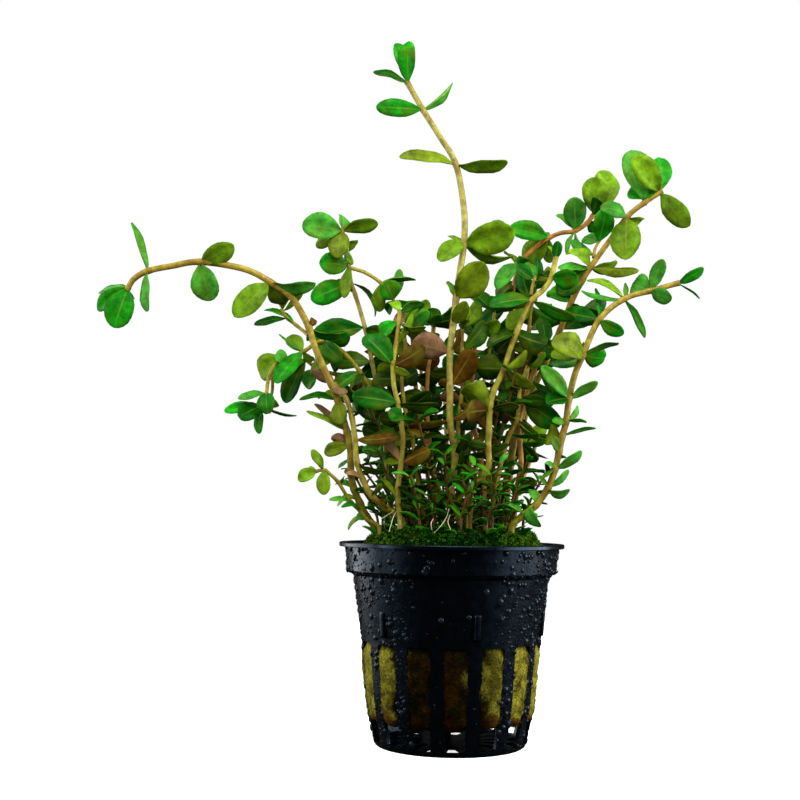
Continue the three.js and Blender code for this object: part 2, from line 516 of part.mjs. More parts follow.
    route: [
      [440, 522, 16], [436, 480, 20], [430, 440, 23], [424, 400, 25], [420, 360, 26], [417, 326, 26],
    ],
    leaves: [],
    pairs: [6, .2, 10, 5.6, 50],
  },
  {
    name: "shoot_rear_middle",
    radius: .6,
    route: [
      [458, 522, 12], [458, 480, 14], [462, 440, 16], [468, 400, 17], [470, 360, 17], [468, 318, 16.5],
    ],
    leaves: [],
    pairs: [6, .2, 10.5, 6, 20],
  },
  {
    name: "shoot_rear_middle_right",
    radius: .6,
    route: [
      [468, 522, 18], [474, 480, 22], [482, 440, 25], [490, 400, 27], [494, 360, 28], [496, 324, 28],
    ],
    leaves: [],
    pairs: [6, .2, 10, 5.6, 75],
  },
  {
    name: "shoot_rear_right",
    radius: .6,
    route: [
      [497, 521, 14], [508, 480, 17], [520, 440, 20], [530, 400, 22], [538, 362, 23], [543, 328, 23],
    ],
    leaves: [],
    pairs: [6, .2, 10, 5.6, 35],
  },
  {
    name: "shoot_rear_arch",
    radius: .6,
    route: [
      [452, 521, 20], [450, 490, 25], [448, 460, 30], [446, 430, 34], [445, 400, 37], [446, 370, 39],
    ],
    leaves: [],
    pairs: [6, .2, 10.5, 5.8, 0],
  },
  {
    name: "shoot_rear_side_left",
    radius: .55,
    route: [
      [410, 521, 12.5], [396, 492, 16], [384, 462, 19], [374, 436, 21], [366, 412, 22],
    ],
    leaves: [],
    pairs: [6, .18, 9, 4.8, 60],
  },
  {
    name: "shoot_rear_side_right",
    radius: .55,
    route: [
      [508, 521, 9], [520, 486, 13], [532, 456, 16], [540, 428, 18], [545, 404, 19],
    ],
    leaves: [],
    pairs: [6, .18, 8.4, 4.6, 15],
  },
];

// The leaf's outline: share of its length, share of its half width
const LEAF_RINGS = [[0.28, 0.78], [0.7, 0.92]];
const SMALL_LEAF_RINGS = [[0.5, 0.97]];
const SMALL_LEAF = 4.9;
const LEAST_LEAF = 3.3;
const SAMPLE_RINGS = [[0.3, 0.6], [0.45, 0.9], [0.6, 1], [0.74, 0.92], [0.87, 0.64], [1, 0]];
const SAMPLE_ACROSS = [-1, -0.5, 0, 0.5, 1];
const DEPTH_TRIES = [0, 1.5, -1.5, 3, -3, 4.5, -4.5, 6, -6, 8, -8];
const TURN_TRIES = [0, 20, -20, 40, -40, 60];
const LENGTH_TRIES = [1, 0.8, 0.62];
const END_INSET = 0.8;
const SLIVER = 0.15;
const WELD_TRIES = [0.01, 0.02, 0.006, 0.03, 0.003, 0.001];
const PAIR_OPENING = THREE.MathUtils.degToRad(64);

// The leaves' jitter comes from a fixed series, so the plant grows alike every time
let series = 5671;
function chance() {
  series = (series * 4096 + 150889) % 714025;
  return series / 714025;
}

function closedSolid(points, faces) {
  const geometry = new THREE.BufferGeometry();
  const numbers = points.flatMap((point) => point.toArray());
  geometry.setAttribute("position", new THREE.Float32BufferAttribute(numbers, 3));
  geometry.setIndex(faces.flat());
  return solidOf(geometry);
}

function solidOf(geometry) {
  geometry.deleteAttribute("normal");
  geometry.deleteAttribute("uv");
  const merged = mergeVertices(geometry, 1e-4);
  const mesh = new wasm.Mesh({
    numProp: 3,
    vertProperties: merged.getAttribute("position").array,
    triVerts: new Uint32Array(merged.getIndex().array),
  });
  return new wasm.Manifold(mesh);
}

function largestBody(solid) {
  const bodies = solid.decompose();
  return bodies.reduce((best, body) => (body.volume() > best.volume() ? body : best));
}

// Corners closer than a hair become one. The faces that this closes up are left out, and so are
// two faces that come to lie back to back
function welded(geometry, tolerance) {
  const merged = mergeVertices(geometry, tolerance);
  const corners = Array.from(merged.getIndex().array);
  const faces = new Map();
  for (let k = 0; k < corners.length; k += 3) {
    const face = corners.slice(k, k + 3);
    const key = face.toSorted((a, b) => a - b).join();
    if (faces.has(key)) faces.delete(key);
    else if (new Set(face).size === 3) faces.set(key, face);
  }
  merged.setIndex([...faces.values()].flat());
  return merged;
}

// A closed surface passes each of its edges once in each direction
function isClosed(geometry) {
  const place = geometry.getAttribute("position");
  const corners = Array.from(geometry.getIndex().array, (corner) => (
    [place.getX(corner), place.getY(corner), place.getZ(corner)].map((value) => value.toFixed(4)).join()));
  const passes = new Map();
  for (let k = 0; k < corners.length; k += 3) {
    const face = corners.slice(k, k + 3);
    if (new Set(face).size === 3) {
      face.forEach((corner, side) => {
        const edge = [corner, face[(side + 1) % 3]].sort().join("|");
        passes.set(edge, (passes.get(edge) ?? 0) + 1);
      });
    }
  }
  return [...passes.values()].every((count) => count === 2);
}

function meshOf(name, solid, material) {
  const body = largestBody(solid.simplify(SLIVER)).getMesh();
  const raw = new THREE.BufferGeometry();
  raw.setAttribute("position", new THREE.BufferAttribute(new Float32Array(body.vertProperties), 3));
  raw.setIndex(new THREE.BufferAttribute(new Uint32Array(body.triVerts), 1));
  const tries = WELD_TRIES.map((tolerance) => welded(raw, tolerance));
  const geometry = tries.find(isClosed) ?? tries[0];
  geometry.computeVertexNormals();
  const mesh = new THREE.Mesh(geometry, material);
  mesh.name = name;
  return mesh;
}

// A form turned on the Z axis with the pot's facets, one vertex on each rib's edges
function turned(profile, facets = FACETS, start = 0) {
  const points = profile.map(([r, z]) => new THREE.Vector2(r, z));
  const lathe = new THREE.LatheGeometry(points, facets, start);
  return solidOf(lathe.rotateX(Math.PI / 2));
}

// A bar across the wall: its width changes from the foot to the top, and it runs outwards
// from the near radius to the far one
function wallCutter([widthLow, widthHigh], [low, high], { near, far }, angle) {
  const outline = new THREE.Shape([
    new THREE.Vector2(-widthLow / 2, low),
    new THREE.Vector2(widthLow / 2, low),
    new THREE.Vector2(widthHigh / 2, high),
    new THREE.Vector2(-widthHigh / 2, high),
  ]);
  const bar = new THREE.ExtrudeGeometry(outline, { depth: far - near, bevelEnabled: false });
  bar.rotateX(Math.PI / 2).translate(0, -near, 0).rotateZ(angle);
  return solidOf(bar);
}

function buildPot() {
  const inside = WALL_OUTSIDE.slice(1).map(([r, z]) => [r - WALL, z]).toReversed();
  const profile = [
    [0, 0],
    ...WALL_OUTSIDE,
    ...COLLAR,
    [LIP_RADIUS, POT_HEIGHT - LIP_THICK],
    [LIP_RADIUS - LIP_TAPER, POT_HEIGHT],
    [COLLAR[1][0] - WALL, POT_HEIGHT],
    [COLLAR[0][0] - WALL, COLLAR_BOTTOM + COLLAR_SHELF],
    ...inside.slice(0, -1),
    [inside.at(-1)[0], FLOOR],
    [0, FLOOR],
  ];
  const pitch = (2 * Math.PI) / SLOT_COUNT;
  let pot = turned(profile, FACETS, FIRST_RIB + pitch / 6);
  for (let k = 0; k < SLOT_COUNT; k += 1) {
    const middle = FIRST_RIB + (k + 0.5) * pitch;
    const slot = wallCutter([SLOT_WIDTH_FOOT, SLOT_WIDTH_TOP], [SLOT_FOOT, SLOT_TOP], SLOT_CUT, middle);
    const hole = floorHole(pitch).rotate([0, 0, THREE.MathUtils.radToDeg(FIRST_RIB + k * pitch)]);
    pot = pot.subtract(slot).subtract(hole);
  }
  const lugPitch = (2 * Math.PI) / LUG_COUNT;
  for (let k = 0; k < LUG_COUNT; k += 1) {
    const turn = FIRST_RIB + k * lugPitch;
    pot = pot.add(wallCutter([LUG.width, LUG.width], [LUG.low, LUG.high], LUG, turn));
  }
  return pot;
}

// One wedge-shaped hole of the floor, between two spokes, pointing to the front
function floorHole(pitch) {
  const half = (radius) => radius * Math.sin(pitch / 2) - SPOKE_WIDTH / 2;
  const outline = new THREE.Shape([
    new THREE.Vector2(-half(FLOOR_DISC_RADIUS), -FLOOR_DISC_RADIUS),
    new THREE.Vector2(-half(FLOOR_RING_RADIUS), -FLOOR_RING_RADIUS),
    new THREE.Vector2(half(FLOOR_RING_RADIUS), -FLOOR_RING_RADIUS),
    new THREE.Vector2(half(FLOOR_DISC_RADIUS), -FLOOR_DISC_RADIUS),
  ]);
  const hole = new THREE.ExtrudeGeometry(outline, { depth: 4 * FLOOR, bevelEnabled: false });
  return solidOf(hole.translate(0, 0, -FLOOR));
}

// The wool stands off the ribs by the gap and bulges into the middle of each slot
function buildWool() {
  const inner = (z) => {
    const at = WALL_OUTSIDE.findIndex(([, height]) => height > z);
    const [[r0, z0], [r1, z1]] = [WALL_OUTSIDE[at - 1], WALL_OUTSIDE[at]];
    return THREE.MathUtils.mapLinear(z, z0, z1, r0, r1) - WALL - GAP;
  };
  const profile = [[0, WOOL_BOTTOM]];
  WOOL_LEVELS.forEach((z) => profile.push([inner(z), z]));
  WOOL_NECK.forEach(([inset, z]) => profile.push([COLLAR[0][0] - WALL - GAP - inset, z]));
  profile.push([0, WOOL_TOP]);
  const pitch = (2 * Math.PI) / SLOT_COUNT;
  const points = profile.map(([r, z]) => new THREE.Vector2(r, z));
  const lathe = new THREE.LatheGeometry(points, SLOT_COUNT * 2, FIRST_RIB);
  lathe.rotateX(Math.PI / 2);
  const place = lathe.getAttribute("position");
  for (let k = 0; k < place.count; k += 1) {
    const spot = new THREE.Vector3().fromBufferAttribute(place, k);
    const radius = Math.hypot(spot.x, spot.y);
    const turn = (Math.atan2(spot.x, -spot.y) - FIRST_RIB) / pitch;
    const offRib = Math.abs(turn - Math.round(turn));
    if (radius > 1 && spot.z < SLOT_TOP - 1 && offRib > 0.3) {
      const bulge = (radius + WOOL_BULGE) / radius;
      place.setXY(k, spot.x * bulge, spot.y * bulge);
    }
  }
  return solidOf(lathe);
}

function mossHeight(radius, angle) {
  const at = Math.max(1, MOSS_PROFILE.findIndex(([r]) => r >= radius - 1e-6));
  const [[r0, z0], [r1, z1]] = [MOSS_PROFILE[at - 1], MOSS_PROFILE[at]];
  const lumps = MOSS_WAVES.reduce((sum, [count, twist, height]) => (
    sum + Math.sin(angle * count + radius * twist) * height), 0);
  return THREE.MathUtils.mapLinear(radius, r0, r1, z0, z1) + lumps * Math.min(1, radius / MOSS_CALM);
}

function buildMoss() {
  const base = WOOL_TOP + GAP;
  const points = MOSS_PROFILE.map(([r, z]) => new THREE.Vector2(r, z)).reverse();
  const [rim] = points;
  const foot = [new THREE.Vector2(0, base), new THREE.Vector2(rim.x, base)];
  const lathe = new THREE.LatheGeometry([...foot, ...points], MOSS_SPAN);
  lathe.rotateX(Math.PI / 2);
  const place = lathe.getAttribute("position");
  for (let k = 0; k < place.count; k += 1) {
    const spot = new THREE.Vector3().fromBufferAttribute(place, k);
    const radius = Math.hypot(spot.x, spot.y);
    if (spot.z > base + 0.01 && radius < rim.x - 0.3) {
      place.setZ(k, mossHeight(radius, Math.round(Math.atan2(spot.y, spot.x) * 1e5) / 1e5));
    }
  }
  return solidOf(lathe);
}

// A smooth curve whose equal steps fall on its own points, so that a stem has a ring at each node
class StemCurve extends THREE.CatmullRomCurve3 {
  getUtoTmapping(share) {
    return share;
  }
}

// Places along a route, measured as a share of its list of points
class Route {
  constructor(points, planted) {
    this.points = points.map(([across, down, deep]) => sight(across, down, deep));
    if (planted) {
      const [first] = this.points;
      const ground = mossHeight(Math.hypot(first.x, first.y), Math.atan2(first.y, first.x));
      this.points.unshift(new THREE.Vector3(first.x, first.y, ground - SOCKET_DEPTH));
    }
    this.given = points.length;
    this.curve = new StemCurve(this.points, false, "catmullrom", 0.5);
  }

  // The share of a numbered point of the list, which starts after the foot in the moss
  shareOf(index) {
    return (index + this.points.length - this.given) / (this.points.length - 1);
  }

  at(share) {
    return this.curve.getPoint(Math.min(1, Math.max(0, share)));
  }

  // Where a leaf starts: on the axis, and a little inside the ends
  root(share) {
    const inset = share > 0.999 ? -END_INSET : share < 0.001 ? END_INSET : 0;
    return this.at(share).addScaledVector(this.heading(share), inset);
  }

  heading(share) {
    return this.at(share + 0.02).sub(this.at(share - 0.02)).normalize();
  }
}

// What the leaves keep clear of: sample points with the distance to keep and their shoot
const taken = [];

function stemSamples(route, radius, owner) {
  const count = (route.points.length - 1) * 8;
  const samples = [];
  for (let k = 0; k <= count; k += 1) {
    samples.push({ spot: route.at(k / count), keep: radius + STEM_KEEP, own: 0, owner });
  }
  return samples;
}

function leafSpot(leaf, along, across) {
  const rise = leaf.bend * leaf.length * 4 * along * (1 - along);
  return leaf.base.clone()
    .addScaledVector(leaf.axis, along * leaf.length)
    .addScaledVector(leaf.side, (across * leaf.wide) / 2)
    .addScaledVector(leaf.normal, rise);
}

function leafSamples(leaf, owner) {
  return SAMPLE_RINGS.flatMap(([along, share]) => SAMPLE_ACROSS.map((across) => (
    { spot: leafSpot(leaf, along, across * share), keep: LEAF_KEEP, own: OWN_KEEP, owner })));
}

function isClear(samples, owner) {
  return samples.every(({ spot }) => taken.every((other) => {
    const keep = other.owner === owner ? other.own : other.keep;
    return spot.distanceToSquared(other.spot) >= keep * keep;
  }));
}

function makeLeaf(base, tip, normal, wide, bend) {
  const axis = tip.clone().sub(base);
  const length = axis.length();
  axis.normalize();
  const flat = normal.clone().addScaledVector(axis, -normal.dot(axis)).normalize();
  return { base, axis, length, normal: flat, side: flat.clone().cross(axis), wide, bend };
}

// A leaf whose tip is given in the front view; face turns it from broadside to the eye
function viewedLeaf(base, [, across, down, deep, wide, face, bend], shift) {
  const tip = sight(across, down, base.y + deep + shift);
  const axis = tip.clone().sub(base).normalize();
  const toEye = EYE.clone().sub(base).normalize();
  const facing = toEye.addScaledVector(axis, -toEye.dot(axis)).normalize();
  const turn = THREE.MathUtils.degToRad(face);
  const normal = facing.clone().multiplyScalar(Math.cos(turn));
  normal.addScaledVector(axis.clone().cross(facing), Math.sin(turn));
  return makeLeaf(base, tip, normal, wide, bend);
}

// A leaf of an opposite pair, which opens from the stem's heading
function pairedLeaf(base, heading, turn, length, wide) {
  const level = PAIR_START.clone().cross(heading).normalize();
  const out = level.applyAxisAngle(heading, turn);
  const [sine, cosine] = [Math.sin(PAIR_OPENING), Math.cos(PAIR_OPENING)];
  const reach = heading.clone().multiplyScalar(cosine).addScaledVector(out, sine);
  const normal = heading.clone().multiplyScalar(sine).addScaledVector(out, -cosine);
  return makeLeaf(base, base.clone().addScaledVector(reach, length), normal, wide, PAIR_ARCH);
}

function keepLeaf(shoot, options) {
  for (const leaf of options) {
    const samples = leafSamples(leaf, shoot.name);
    if (isClear(samples, shoot.name)) {
      taken.push(...samples);
      shoot.grown.push(leaf);
      return;
    }
  }
}

function growViewedLeaves(shoot) {
  shoot.leaves.filter((row) => row[4] >= LEAST_LEAF).forEach((row) => {
    const base = shoot.line.root(shoot.line.shareOf(row[0]));
    keepLeaf(shoot, DEPTH_TRIES.map((shift) => viewedLeaf(base, row, shift)));
  });
}

function growPairs(shoot) {
  const [count, first, long, wide, firstTurn] = shoot.pairs;
  for (let k = 0; k < count; k += 1) {
    const share = first + ((0.97 - first) * k) / (count - 1);
    const base = shoot.line.at(share);
    const heading = shoot.line.heading(share);
    const size = 1 - (0.3 * k) / count;
    for (let half = 0; half < 2; half += 1) {
      const round = THREE.MathUtils.degToRad(firstTurn + 90 * k + 180 * half);
      const turn = round + PAIR_JITTER * (chance() - 0.5);
      const scale = size * (0.85 + 0.3 * chance());
      const options = LENGTH_TRIES.flatMap((shorter) => TURN_TRIES.map((aside) => {
        const each = scale * shorter;
        return pairedLeaf(base, heading, turn + THREE.MathUtils.degToRad(aside), long * each, wide * each);
      }));
      keepLeaf(shoot, options);
    }
  }
}

function leafSolid(leaf) {
  const small = leaf.wide < SMALL_LEAF;
  const rings = small ? SMALL_LEAF_RINGS : LEAF_RINGS;
  const points = [leaf.base];
  const half = leaf.normal.clone().multiplyScalar(LEAF_THICK / 2);
  rings.forEach(([along, share]) => {
    points.push(leafSpot(leaf, along, share), leafSpot(leaf, along, 0).add(half));
    points.push(leafSpot(leaf, along, -share), leafSpot(leaf, along, 0).sub(half));
  });
  points.push(leafSpot(leaf, 1, 0));
  const last = points.length - 1;
  const faces = [];
  for (let side = 0; side < 4; side += 1) {
    const next = (side + 1) % 4;
    faces.push([0, 1 + next, 1 + side]);
    for (let ring = 1; ring < rings.length; ring += 1) {
      const [low, high] = [4 * ring - 3, 4 * ring + 1];
      faces.push([low + side, low + next, high + next], [low + side, high + next, high + side]);
    }
    faces.push([last - 4 + side, last - 4 + next, last]);
  }
  return closedSolid(points, faces);
}

function stemSolid(shoot, radius) {
  const section = new THREE.Shape();
  for (let k = 0; k < STEM_SIDES; k += 1) {
    const angle = (2 * Math.PI * k) / STEM_SIDES;
    const corner = [radius * Math.cos(angle), radius * Math.sin(angle)];
    if (k === 0) section.moveTo(...corner);
    else section.lineTo(...corner);
  }
  const steps = shoot.line.points.length - 1;
  const options = { steps, extrudePath: shoot.line.curve, bevelEnabled: false };
  return solidOf(new THREE.ExtrudeGeometry(section, options));
}

function shootSolid(shoot) {
  return shoot.grown.reduce((whole, leaf) => whole.add(leafSolid(leaf)), stemSolid(shoot, shoot.radius));
}

SHOOTS.forEach((shoot) => {
  shoot.line = new Route(shoot.route, shoot.route[0][1] > GROUND_LINE);
  shoot.grown = [];
  taken.push(...stemSamples(shoot.line, shoot.radius, shoot.name));
});
SHOOTS.forEach(growViewedLeaves);
SHOOTS.filter((shoot) => shoot.pairs && shoot.pairs[3] >= LEAST_LEAF).forEach(growPairs);

const plant = new THREE.Group();
plant.name = "potted_rotala";
let moss = buildMoss();
SHOOTS.filter((shoot) => shoot.route[0][1] > GROUND_LINE).forEach((shoot) => {
  moss = moss.subtract(stemSolid(shoot, shoot.radius + GAP));
});
plant.add(meshOf("pot", buildPot(), MATERIALS.plastic));
plant.add(meshOf("wool", buildWool(), MATERIALS.wool));
plant.add(meshOf("moss", moss, MATERIALS.moss));
SHOOTS.forEach((shoot) => plant.add(meshOf(shoot.name, shootSolid(shoot), MATERIALS.leaf)));

export default plant;
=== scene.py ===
"""A potted rotala rotundifolia: leafy stems rooted in moss and mineral wool in a black net pot.

Metres, +Z up, the pot's underside at the origin and its front towards -Y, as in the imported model.
"""

import logging
import math
from collections.abc import Iterable, Sequence
from dataclasses import dataclass, field
from enum import Enum
from typing import Any

import bpy
import numpy as np
from mathutils import Matrix, Vector, noise


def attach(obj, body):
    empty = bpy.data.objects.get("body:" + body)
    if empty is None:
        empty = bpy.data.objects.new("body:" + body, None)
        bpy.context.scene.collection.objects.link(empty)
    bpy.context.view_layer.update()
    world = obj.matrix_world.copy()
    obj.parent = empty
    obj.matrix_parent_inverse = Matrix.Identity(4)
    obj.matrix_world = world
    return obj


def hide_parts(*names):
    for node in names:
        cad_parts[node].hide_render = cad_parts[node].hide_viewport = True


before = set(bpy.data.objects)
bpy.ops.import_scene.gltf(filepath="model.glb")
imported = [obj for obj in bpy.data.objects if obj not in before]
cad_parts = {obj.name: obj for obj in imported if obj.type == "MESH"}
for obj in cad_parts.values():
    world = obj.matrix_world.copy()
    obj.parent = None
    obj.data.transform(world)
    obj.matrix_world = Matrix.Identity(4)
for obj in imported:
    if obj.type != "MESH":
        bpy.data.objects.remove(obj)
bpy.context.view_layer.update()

MM = 0.001
FULL_TURN = 2 * math.pi
DRAWN_TURN = 6.283  # the range in which turns are drawn, in radians
BODY = "root"
log = logging.getLogger("rotala")

Object, Mesh, Material, Array = bpy.types.Object, bpy.types.Mesh, bpy.types.Material, np.ndarray
Two = tuple[float, float]
Triple = tuple[float, float, float]
Colour = tuple[float, float, float, float]
Outline = tuple[Two, ...]
Faces = list[tuple[int, ...]]


def colour(red: float, green: float, blue: float) -> Colour:
    """A linear colour with full cover, from its three shares."""
    return (red, green, blue, 1.0)


@dataclass
class Graph:
    """A node tree under construction, for a material, the surround or Geometry Nodes."""

    tree: bpy.types.NodeTree

    def add(self, kind: str, inputs: dict[str | int, Any] | None = None, **settings: Any) -> Any:
        """Add one node, set its properties, and fill or link its inputs.

        Args:
            kind: the node's type name.
            inputs: values, or the sockets to link, by the input's name or number.
            settings: the node's own properties.

        Returns:
            The new node.
        """
        node = self.tree.nodes.new(kind)
        for key, value in settings.items():
            setattr(node, key, value)
        for key, value in (inputs or {}).items():
            self.give(node.inputs[key], value)
        return node

    def give(self, socket: Any, value: Any) -> None:
        """Link an input to a socket, or set its value.

        Args:
            socket: the input.
            value: the socket or the value.
        """
        if isinstance(value, bpy.types.NodeSocket):
            self.tree.links.new(value, socket)
        else:
            socket.default_value = value

    def math(self, operation: str, *values: Any) -> Any:
        """The result of a Math node with these numbers or sockets."""
        return self.add("ShaderNodeMath", dict(enumerate(values)), operation=operation).outputs[0]

    def plus(self, first: Any, second: Any) -> Any:
        """The sum of two numbers or sockets."""
        return self.math("ADD", first, second)

    def minus(self, first: Any, second: Any) -> Any:
        """The difference of two numbers or sockets."""
        return self.math("SUBTRACT", first, second)

    def times(self, first: Any, *others: Any) -> Any:
        """The product of numbers or sockets.

        Args:
            first: the first factor.
            others: the other factors.

        Returns:
            The product's socket.
        """
        for other in others:
            first = self.math("MULTIPLY", first, other)
        return first

    def part(self, place: Any, axis: str) -> Any:
        """One axis of a place."""
        return self.add("ShaderNodeSeparateXYZ", {0: place}).outputs[axis]


@dataclass
class Shader(Graph):
    """A material's node tree with shorthands for the nodes that the finishes share."""

    material: Material = None

    @classmethod
    def start(cls, name: str) -> "Shader":
        """Make a material with an empty tree.

        Args:
            name: the material's name.

        Returns:
            The shader graph of the new material.
        """
        material = bpy.data.materials.new(name)
        material.use_nodes = True
        material.node_tree.nodes.clear()
        return cls(material.node_tree, material)

    def surface(self, base: Any, rough: Any, shine: float = 0.5, **more: Any) -> Material:
        """Close the tree with one Principled shader.

        Args:
            base: the colour.
            rough: the roughness.
            shine: the specular level.
            more: other inputs by their names, with an underscore for each blank.

        Returns:
            The finished material.
        """
        inputs = {"Base Color": base, "Roughness": rough, "Specular IOR Level": shine}
        inputs |= {name.replace("_", " "): value for name, value in more.items()}
        shader = self.add("ShaderNodeBsdfPrincipled", inputs)
        self.add("ShaderNodeOutputMaterial", {"Surface": shader.outputs[0]})
        return self.material

    def place(self) -> Any:
        """The place on the piece, in metres."""
        return self.add("ShaderNodeTexCoord").outputs["Object"]

    def stored(self, name: str, output: str = "Fac") -> Any:
        """The piece's own attribute, as a number or as a Color."""
        return self.add("ShaderNodeAttribute", attribute_name=name).outputs[output]

    def grain(self, scale: float, detail: float = 3.0, roughness: float = 0.5) -> Any:
        """Noise on the piece: its lumps in a metre, its finer layers and how strong they are."""
        inputs = {"Vector": self.place(), "Scale": scale, "Detail": detail, "Roughness": roughness}
        return self.add("ShaderNodeTexNoise", inputs).outputs["Fac"]

    def span(self, value: Any, low: float, high: float, start: float = 0.0, end: float = 1.0) -> Any:
        """Carry the range from low to high smoothly over to the one from start to end."""
        inputs = {"Value": value, 1: low, 2: high, 3: start, 4: end}
        return self.add("ShaderNodeMapRange", inputs, interpolation_type="SMOOTHSTEP").outputs["Result"]

    def mix(self, share: Any, first: Any, second: Any) -> Any:
        """Mix two colours, with this share of the second."""
        return self.add("ShaderNodeMix", {0: share, 6: first, 7: second}, data_type="RGBA").outputs[2]

    def brighten(self, value: Any, base: Any) -> Any:
        """A colour times a number."""
        return self.add("ShaderNodeVectorMath", {0: base, "Scale": value}, operation="SCALE").outputs[0]

    def bump(self, height: Any, depth: float, strength: float) -> Any:
        """The normal of a surface that is uneven by this height, whose whole range is the depth."""
        inputs = {"Height": height, "Distance": depth, "Strength": strength}
        return self.add("ShaderNodeBump", inputs).outputs["Normal"]


@dataclass
class Recipe(Graph):
    """A Geometry Nodes tree with named inputs, run on one object at a time."""

    names: dict[str, str] = field(default_factory=dict)
    entry: Any = None

    @classmethod
    def start(cls, name: str) -> "Recipe":
        """Make a tree that takes and gives a geometry.

        Args:
            name: the tree's name.

        Returns:
            The recipe, ready for its inputs and nodes.
        """
        group = bpy.data.node_groups.new(name, "GeometryNodeTree")
        for way in ("INPUT", "OUTPUT"):
            group.interface.new_socket("Geometry", in_out=way, socket_type="NodeSocketGeometry")
        made = cls(group)
        made.entry = made.add("NodeGroupInput")
        return made

    def given(self, name: str, kind: str = "Float") -> Any:
        """Add a named input.

        Args:
            name: the input's name.
            kind: what it holds.

        Returns:
            The socket that gives the input's value inside the tree.
        """
        item = self.tree.interface.new_socket(name, in_out="INPUT", socket_type=f"NodeSocket{kind}")
        self.names[name] = item.identifier
        return self.entry.outputs[name]

    def form(self, name: str) -> Any:
        """The geometry of an object that is a named input."""
        info = self.add("GeometryNodeObjectInfo", {"Object": self.given(name, "Object")})
        return info.outputs["Geometry"]

    def stored(self, name: str, kind: str = "FLOAT") -> Any:
        """An attribute of the geometry, by its name and type."""
        node = self.add("GeometryNodeInputNamedAttribute", {"Name": name}, data_type=kind)
        return node.outputs["Attribute"]

    def place(self, axis: str) -> Any:
        """One axis of the geometry's places."""
        return self.part(self.add("GeometryNodeInputPosition").outputs[0], axis)

    def draw(self, low: float, high: float, seed: int) -> Any:
        """A random number between two for each point.

        Args:
            low: the least number.
            high: the greatest number.
            seed: the seed.

        Returns:
            The number's socket.
        """
        node = self.add("FunctionNodeRandomValue", data_type="FLOAT")
        shown = {socket.name: socket for socket in node.inputs if socket.enabled}
        for name, value in (("Min", low), ("Max", high), ("Seed", seed)):
            shown[name].default_value = value
        return next(socket for socket in node.outputs if socket.enabled)

    def rotation(self, **turns: Any) -> Any:
        """A rotation by the turns round X, Y and Z."""
        euler = self.add("ShaderNodeCombineXYZ", turns).outputs[0]
        return self.add("FunctionNodeEulerToRotation", {"Euler": euler}).outputs[0]

    def scatter(self, side: str, seed: int, spin: Any) -> tuple[Any, Any]:
        """Random points on the faces on one side of a height, with the inputs Density and Limit.

        Args:
            side: GREATER_THAN for the faces above the limit, LESS_THAN for those below.
            seed: the seed of the points.
            spin: how each point's form is turned on the spot.

        Returns:
            The sockets of the points and of their rotations.
        """
        shown = self.add("FunctionNodeCompare", {0: self.place("Z"), 1: self.given("Limit")}, operation=side)
        spread = self.add("GeometryNodeDistributePointsOnFaces", {
            "Mesh": self.entry.outputs[0], "Selection": shown.outputs[0],
            "Density": self.given("Density"), "Seed": seed,
        })
        turns = {"Rotation": spread.outputs["Rotation"], "Rotate By": spin}
        both = self.add("FunctionNodeRotateRotation", turns, rotation_space="LOCAL")
        return spread.outputs["Points"], both.outputs[0]

    def copies(self, points: Any, form: Any, rotation: Any, scale: Any = (1.0, 1.0, 1.0)) -> Any:
        """Set a form on points and make the copies real.

        Args:
            points: the points.
            form: the form's geometry.
            rotation: each copy's rotation.
            scale: each copy's size.

        Returns:
            The copies' geometry.
        """
        inputs = {"Points": points, "Instance": form, "Rotation": rotation, "Scale": scale}
        placed = self.add("GeometryNodeInstanceOnPoints", inputs)
        return self.add("GeometryNodeRealizeInstances", {0: placed.outputs[0]}).outputs[0]

    def tube(self, joined: Any, sides: Any) -> Any:
        """A capped tube along joined points, as thick as their attribute says.

        Args:
            joined: the points, joined by edges.
            sides: how many sides the tube has.

        Returns:
            The tube's geometry.
        """
        line = self.add("GeometryNodeMeshToCurve", {"Mesh": joined}).outputs[0]
        ring = self.add("GeometryNodeCurvePrimitiveCircle", {"Resolution": sides, "Radius": 1.0}).outputs[0]
        inputs = {"Curve": line, "Profile Curve": ring, "Scale": self.stored("thick"), "Fill Caps": True}
        made = self.add("GeometryNodeCurveToMesh", inputs)
        return self.add("GeometryNodeSetShadeSmooth", {0: made.outputs[0]}).outputs[0]

    def dress(self, geometry: Any, material: Material) -> Any:
        """The geometry with a material."""
        return self.add("GeometryNodeSetMaterial", {0: geometry, "Material": material}).outputs[0]

    def join(self, first: Any, second: Any) -> Any:
        """Two geometries as one.

        Args:
            first: the one.
            second: the other.

        Returns:
            Both of them.
        """
        both = self.add("GeometryNodeJoinGeometry")
        for part in (first, second):
            self.tree.links.new(part, both.inputs[0])
        return both.outputs[0]

    def close(self, geometry: Any) -> "Recipe":
        """Link the tree's result and give the finished recipe."""
        self.add("NodeGroupOutput", {0: geometry})
        return self

    def run(self, base: Object, spent: Sequence[Object] = (), **values: Any) -> Mesh:
        """Run the tree on an object and take its result as a plain mesh.

        Args:
            base: the object whose mesh goes in.
            spent: helper objects to remove afterwards.
            values: the inputs' values by name.

        Returns:
            The new mesh, with no modifier left behind.
        """
        modifier = base.modifiers.new("recipe", "NODES")
        modifier.node_group = self.tree
        for name, value in values.items():
            modifier[self.names[name]] = value
        graph = bpy.context.evaluated_depsgraph_get()
        mesh = bpy.data.meshes.new_from_object(base.evaluated_get(graph), depsgraph=graph)
        base.modifiers.remove(modifier)
        for helper in spent:
            bpy.data.objects.remove(helper)
        return mesh


def stand(name: str, data: bpy.types.ID) -> Object:
    """Put a mesh, a lamp or a camera into the scene as an object at the origin.

    Args:
        name: the object's name.
        data: what it shows.

    Returns:
        The new object.
    """
    made = bpy.data.objects.new(name, data)
    bpy.context.scene.collection.objects.link(made)
    return made


